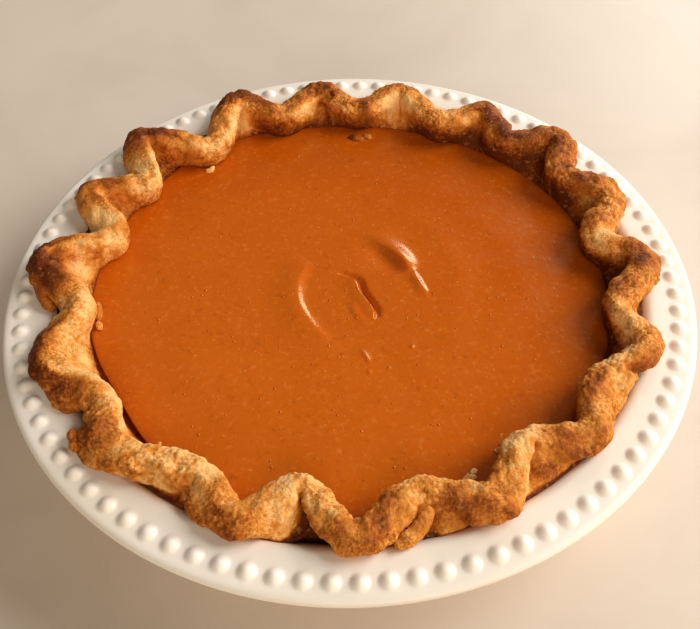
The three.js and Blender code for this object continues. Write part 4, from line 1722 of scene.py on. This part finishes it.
@dataclass
class Crumbs:
    """Crumbs and torn flakes of pastry that lie on the filling beside the crust."""

    filling: Filling
    relief: DoughRelief = DoughRelief(lump=(3, 0.3), knob=(1.6, 0.3), crack=(8, 0))
    tilt: float = 0.4
    seed: int = 3
    crumbs: tuple[Crumb, ...] = (
        Crumb(294, 101, (2.9, 2, 0.8), Bake.PALE),
        Crumb(295.6, 99.7, (1.5, 1, 0.8), Bake.PALE),
        Crumb(302.6, 96.9, (1.4, 1, 0.9), Bake.GOLDEN),
        Crumb(304.3, 95.8, (1.1, 0.8, 0.7), Bake.GOLDEN),
        Crumb(305.7, 92.5, (1, 0.7, 0.6), Bake.GOLDEN),
        Crumb(86.3, 97.2, (3, 2.2, 1.6), Bake.BROWNED),
        Crumb(88, 97.9, (2, 1.6, 1.4), Bake.TOASTED),
        Crumb(83.5, 99, (2.4, 1.8, 1.5), Bake.BROWNED),
        Crumb(130, 99.6, (3, 1.7, 1.2), Bake.PALE),
        Crumb(186.4, 103, (4.6, 1.5, 2.6), Bake.AMBER, 1.2),
        Crumb(190.2, 102.7, (2.8, 1.3, 1.6), Bake.GOLDEN, 0.6),
        Crumb(226.6, 102.7, (0.9, 0.7, 0.6), Bake.PALE),
        Crumb(251.9, 106, (0.9, 0.8, 0.7), Bake.PALE, 0.5),
    )

    def build(self) -> bmesh.types.BMesh:
        """Mesh of all the crumbs.

        Returns:
            The crumbs, each a rough lump lying along the crust, with their browning in the layer toast.
        """
        draw = random.Random(self.seed)
        bm = bmesh.new()
        layer = bm.verts.layers.float.new("toast_and_shade")
        for crumb in self.crumbs:
            spot = polar(crumb.azimuth, crumb.radius, 0)
            spot.z = float(self.filling.surface(np.array(spot.x), np.array(spot.y))) + crumb.lift
            roll, pitch = draw.uniform(-self.tilt, self.tilt), draw.uniform(-self.tilt, self.tilt)
            turn = Euler((roll, pitch, math.radians(crumb.azimuth + 90)))
            pose = Matrix.Translation(spot) @ turn.to_matrix().to_4x4()
            lump = bmesh.ops.create_icosphere(bm, subdivisions=3, radius=1)["verts"]
            for vert in lump:
                vert.co = [axis * half for axis, half in zip(vert.co, crumb.size)]
                vert[layer] = crumb.bake.value
            bm.normal_update()
            for vert in lump:
                vert.co += vert.normal * self.relief.depth(vert.co + spot)
            bmesh.ops.transform(bm, matrix=pose, verts=lump)
        return bm

    def dress(self, finish: bpy.types.Material) -> bpy.types.Object:
        """Crumbs in the crust's finish."""
        return place(self.build(), "pastry_crumbs", finish, Slot.PASTRY, self.filling.crust.dish.height)


@dataclass(frozen=True)
class SoftBox:
    """A large soft lamp, by its azimuth, elevation, distance and width in metres, power and colour."""

    name: str
    azimuth: float
    elevation: float
    distance: float
    width: float
    power: float
    colour: Colour

    def hang(self, target: Vector) -> None:
        """Hangs the lamp so that it faces a point.

        Args:
            target: The point, in metres.
        """
        lamp = bpy.data.lights.new(self.name, "AREA")
        lamp.shape = "DISK"
        lamp.size = self.width
        lamp.energy = self.power
        lamp.color = self.colour
        rig = bpy.data.objects.new(self.name, lamp)
        flat = self.distance * math.cos(math.radians(self.elevation))
        offset = polar(self.azimuth, flat, self.distance * math.sin(math.radians(self.elevation)))
        rig.location = target + offset
        rig.rotation_euler = offset.to_track_quat("Z", "Y").to_euler()
        bpy.context.scene.collection.objects.link(rig)


@dataclass
class Studio:
    """Pale floor, soft light and the camera at the photograph's view.

    The camera's distance and aim are shares of the dish's radius, from a point just under its rim.
    """

    dish: Dish
    floor_width: float = 6
    floor_squares: int = 8
    world: Colour = (1.0, 0.87, 0.72)
    world_strength: float = 0.12
    lamps: tuple[SoftBox, ...] = (
        SoftBox("window", 13, 34, 2, 1.45, 45.8, (1.0, 0.97, 0.94)),
        SoftBox("gleam", 60, 21, 2, 0.8, 13, (1.0, 0.96, 0.9)),
        SoftBox("bounce", 280, 28, 2.2, 1.8, 28, (1.0, 0.85, 0.68)),
    )
    camera_distance: float = 2.73306
    camera_elevation: float = 47.36
    aim: tuple[float, float] = (0.001976, -0.134632)
    roll: float = -1.2727
    focal_pixels: float = 923.18
    frame_width: float = 700
    sensor: float = 36
    aim_drop: float = 1

    def lay_floor(self) -> None:
        """Lays the pale floor that the dish stands on."""
        squares = self.floor_squares
        bm = bmesh.new()
        bmesh.ops.create_grid(bm, x_segments=squares, y_segments=squares, size=self.floor_width / 2)
        mesh = bpy.data.meshes.new("floor")
        bm.to_mesh(mesh)
        bm.free()
        mesh.materials.append(PaleStone().material())
        floor = bpy.data.objects.new("floor", mesh)
        bpy.context.scene.collection.objects.link(floor)

    def light(self) -> None:
        """Hangs the lamps and sets the soft light from all round."""
        world = bpy.data.worlds.new("studio")
        world.use_nodes = True
        surround = world.node_tree.nodes["Background"]
        surround.inputs["Color"].default_value = (*self.world, 1)
        surround.inputs["Strength"].default_value = self.world_strength
        bpy.context.scene.world = world
        for lamp in self.lamps:
            lamp.hang(Vector((0, 0, self.dish.height * MM)))
        bpy.context.scene.view_settings.view_transform = "Standard"

    def set_camera(self) -> None:
        """Places the camera where the photograph was taken from."""
        unit = self.dish.radius * MM
        rise = math.radians(self.camera_elevation)
        eye = Vector((0, -math.cos(rise), math.sin(rise))) * self.camera_distance
        back = (eye - Vector((*self.aim, 0))).normalized()
        right = Vector((0, 0, 1)).cross(back).normalized()
        level = Matrix((right, back.cross(right), back)).transposed()
        camera = bpy.data.cameras.new("photo_view")
        camera.sensor_width = self.sensor
        camera.lens = self.focal_pixels / self.frame_width * self.sensor
        rig = bpy.data.objects.new("photo_view", camera)
        pose = (level @ Matrix.Rotation(math.radians(self.roll), 3, "Z")).to_4x4()
        pose.translation = eye * unit + Vector((0, 0, (self.dish.height - self.aim_drop) * MM))
        rig.matrix_world = pose
        bpy.context.scene.collection.objects.link(rig)
        bpy.context.scene.camera = rig

    def set_up(self) -> None:
        """Floor, light and camera."""
        self.lay_floor()
        self.light()
        self.set_camera()


def main() -> None:
    """Builds and dresses the pie, reports each piece, and sets up the studio."""
    logging.basicConfig(level=logging.INFO, format="%(name)s: %(message)s")
    noise.seed_set(NOISE_SEED)
    dish = Dish()
    crust = Crust(dish)
    filling = Filling(crust)
    pastry = BakedPastry().material()
    custard = BakedCustard().material()
    report(dish.dress())
    report(crust.dress(pastry))
    report(LooseFolds(dish).dress(pastry))
    report(filling.dress(custard))
    report(Bubbles(filling).dress(custard))
    report(Crumbs(filling).dress(pastry))
    Studio(dish).set_up()


if __name__ == "__main__":
    main()
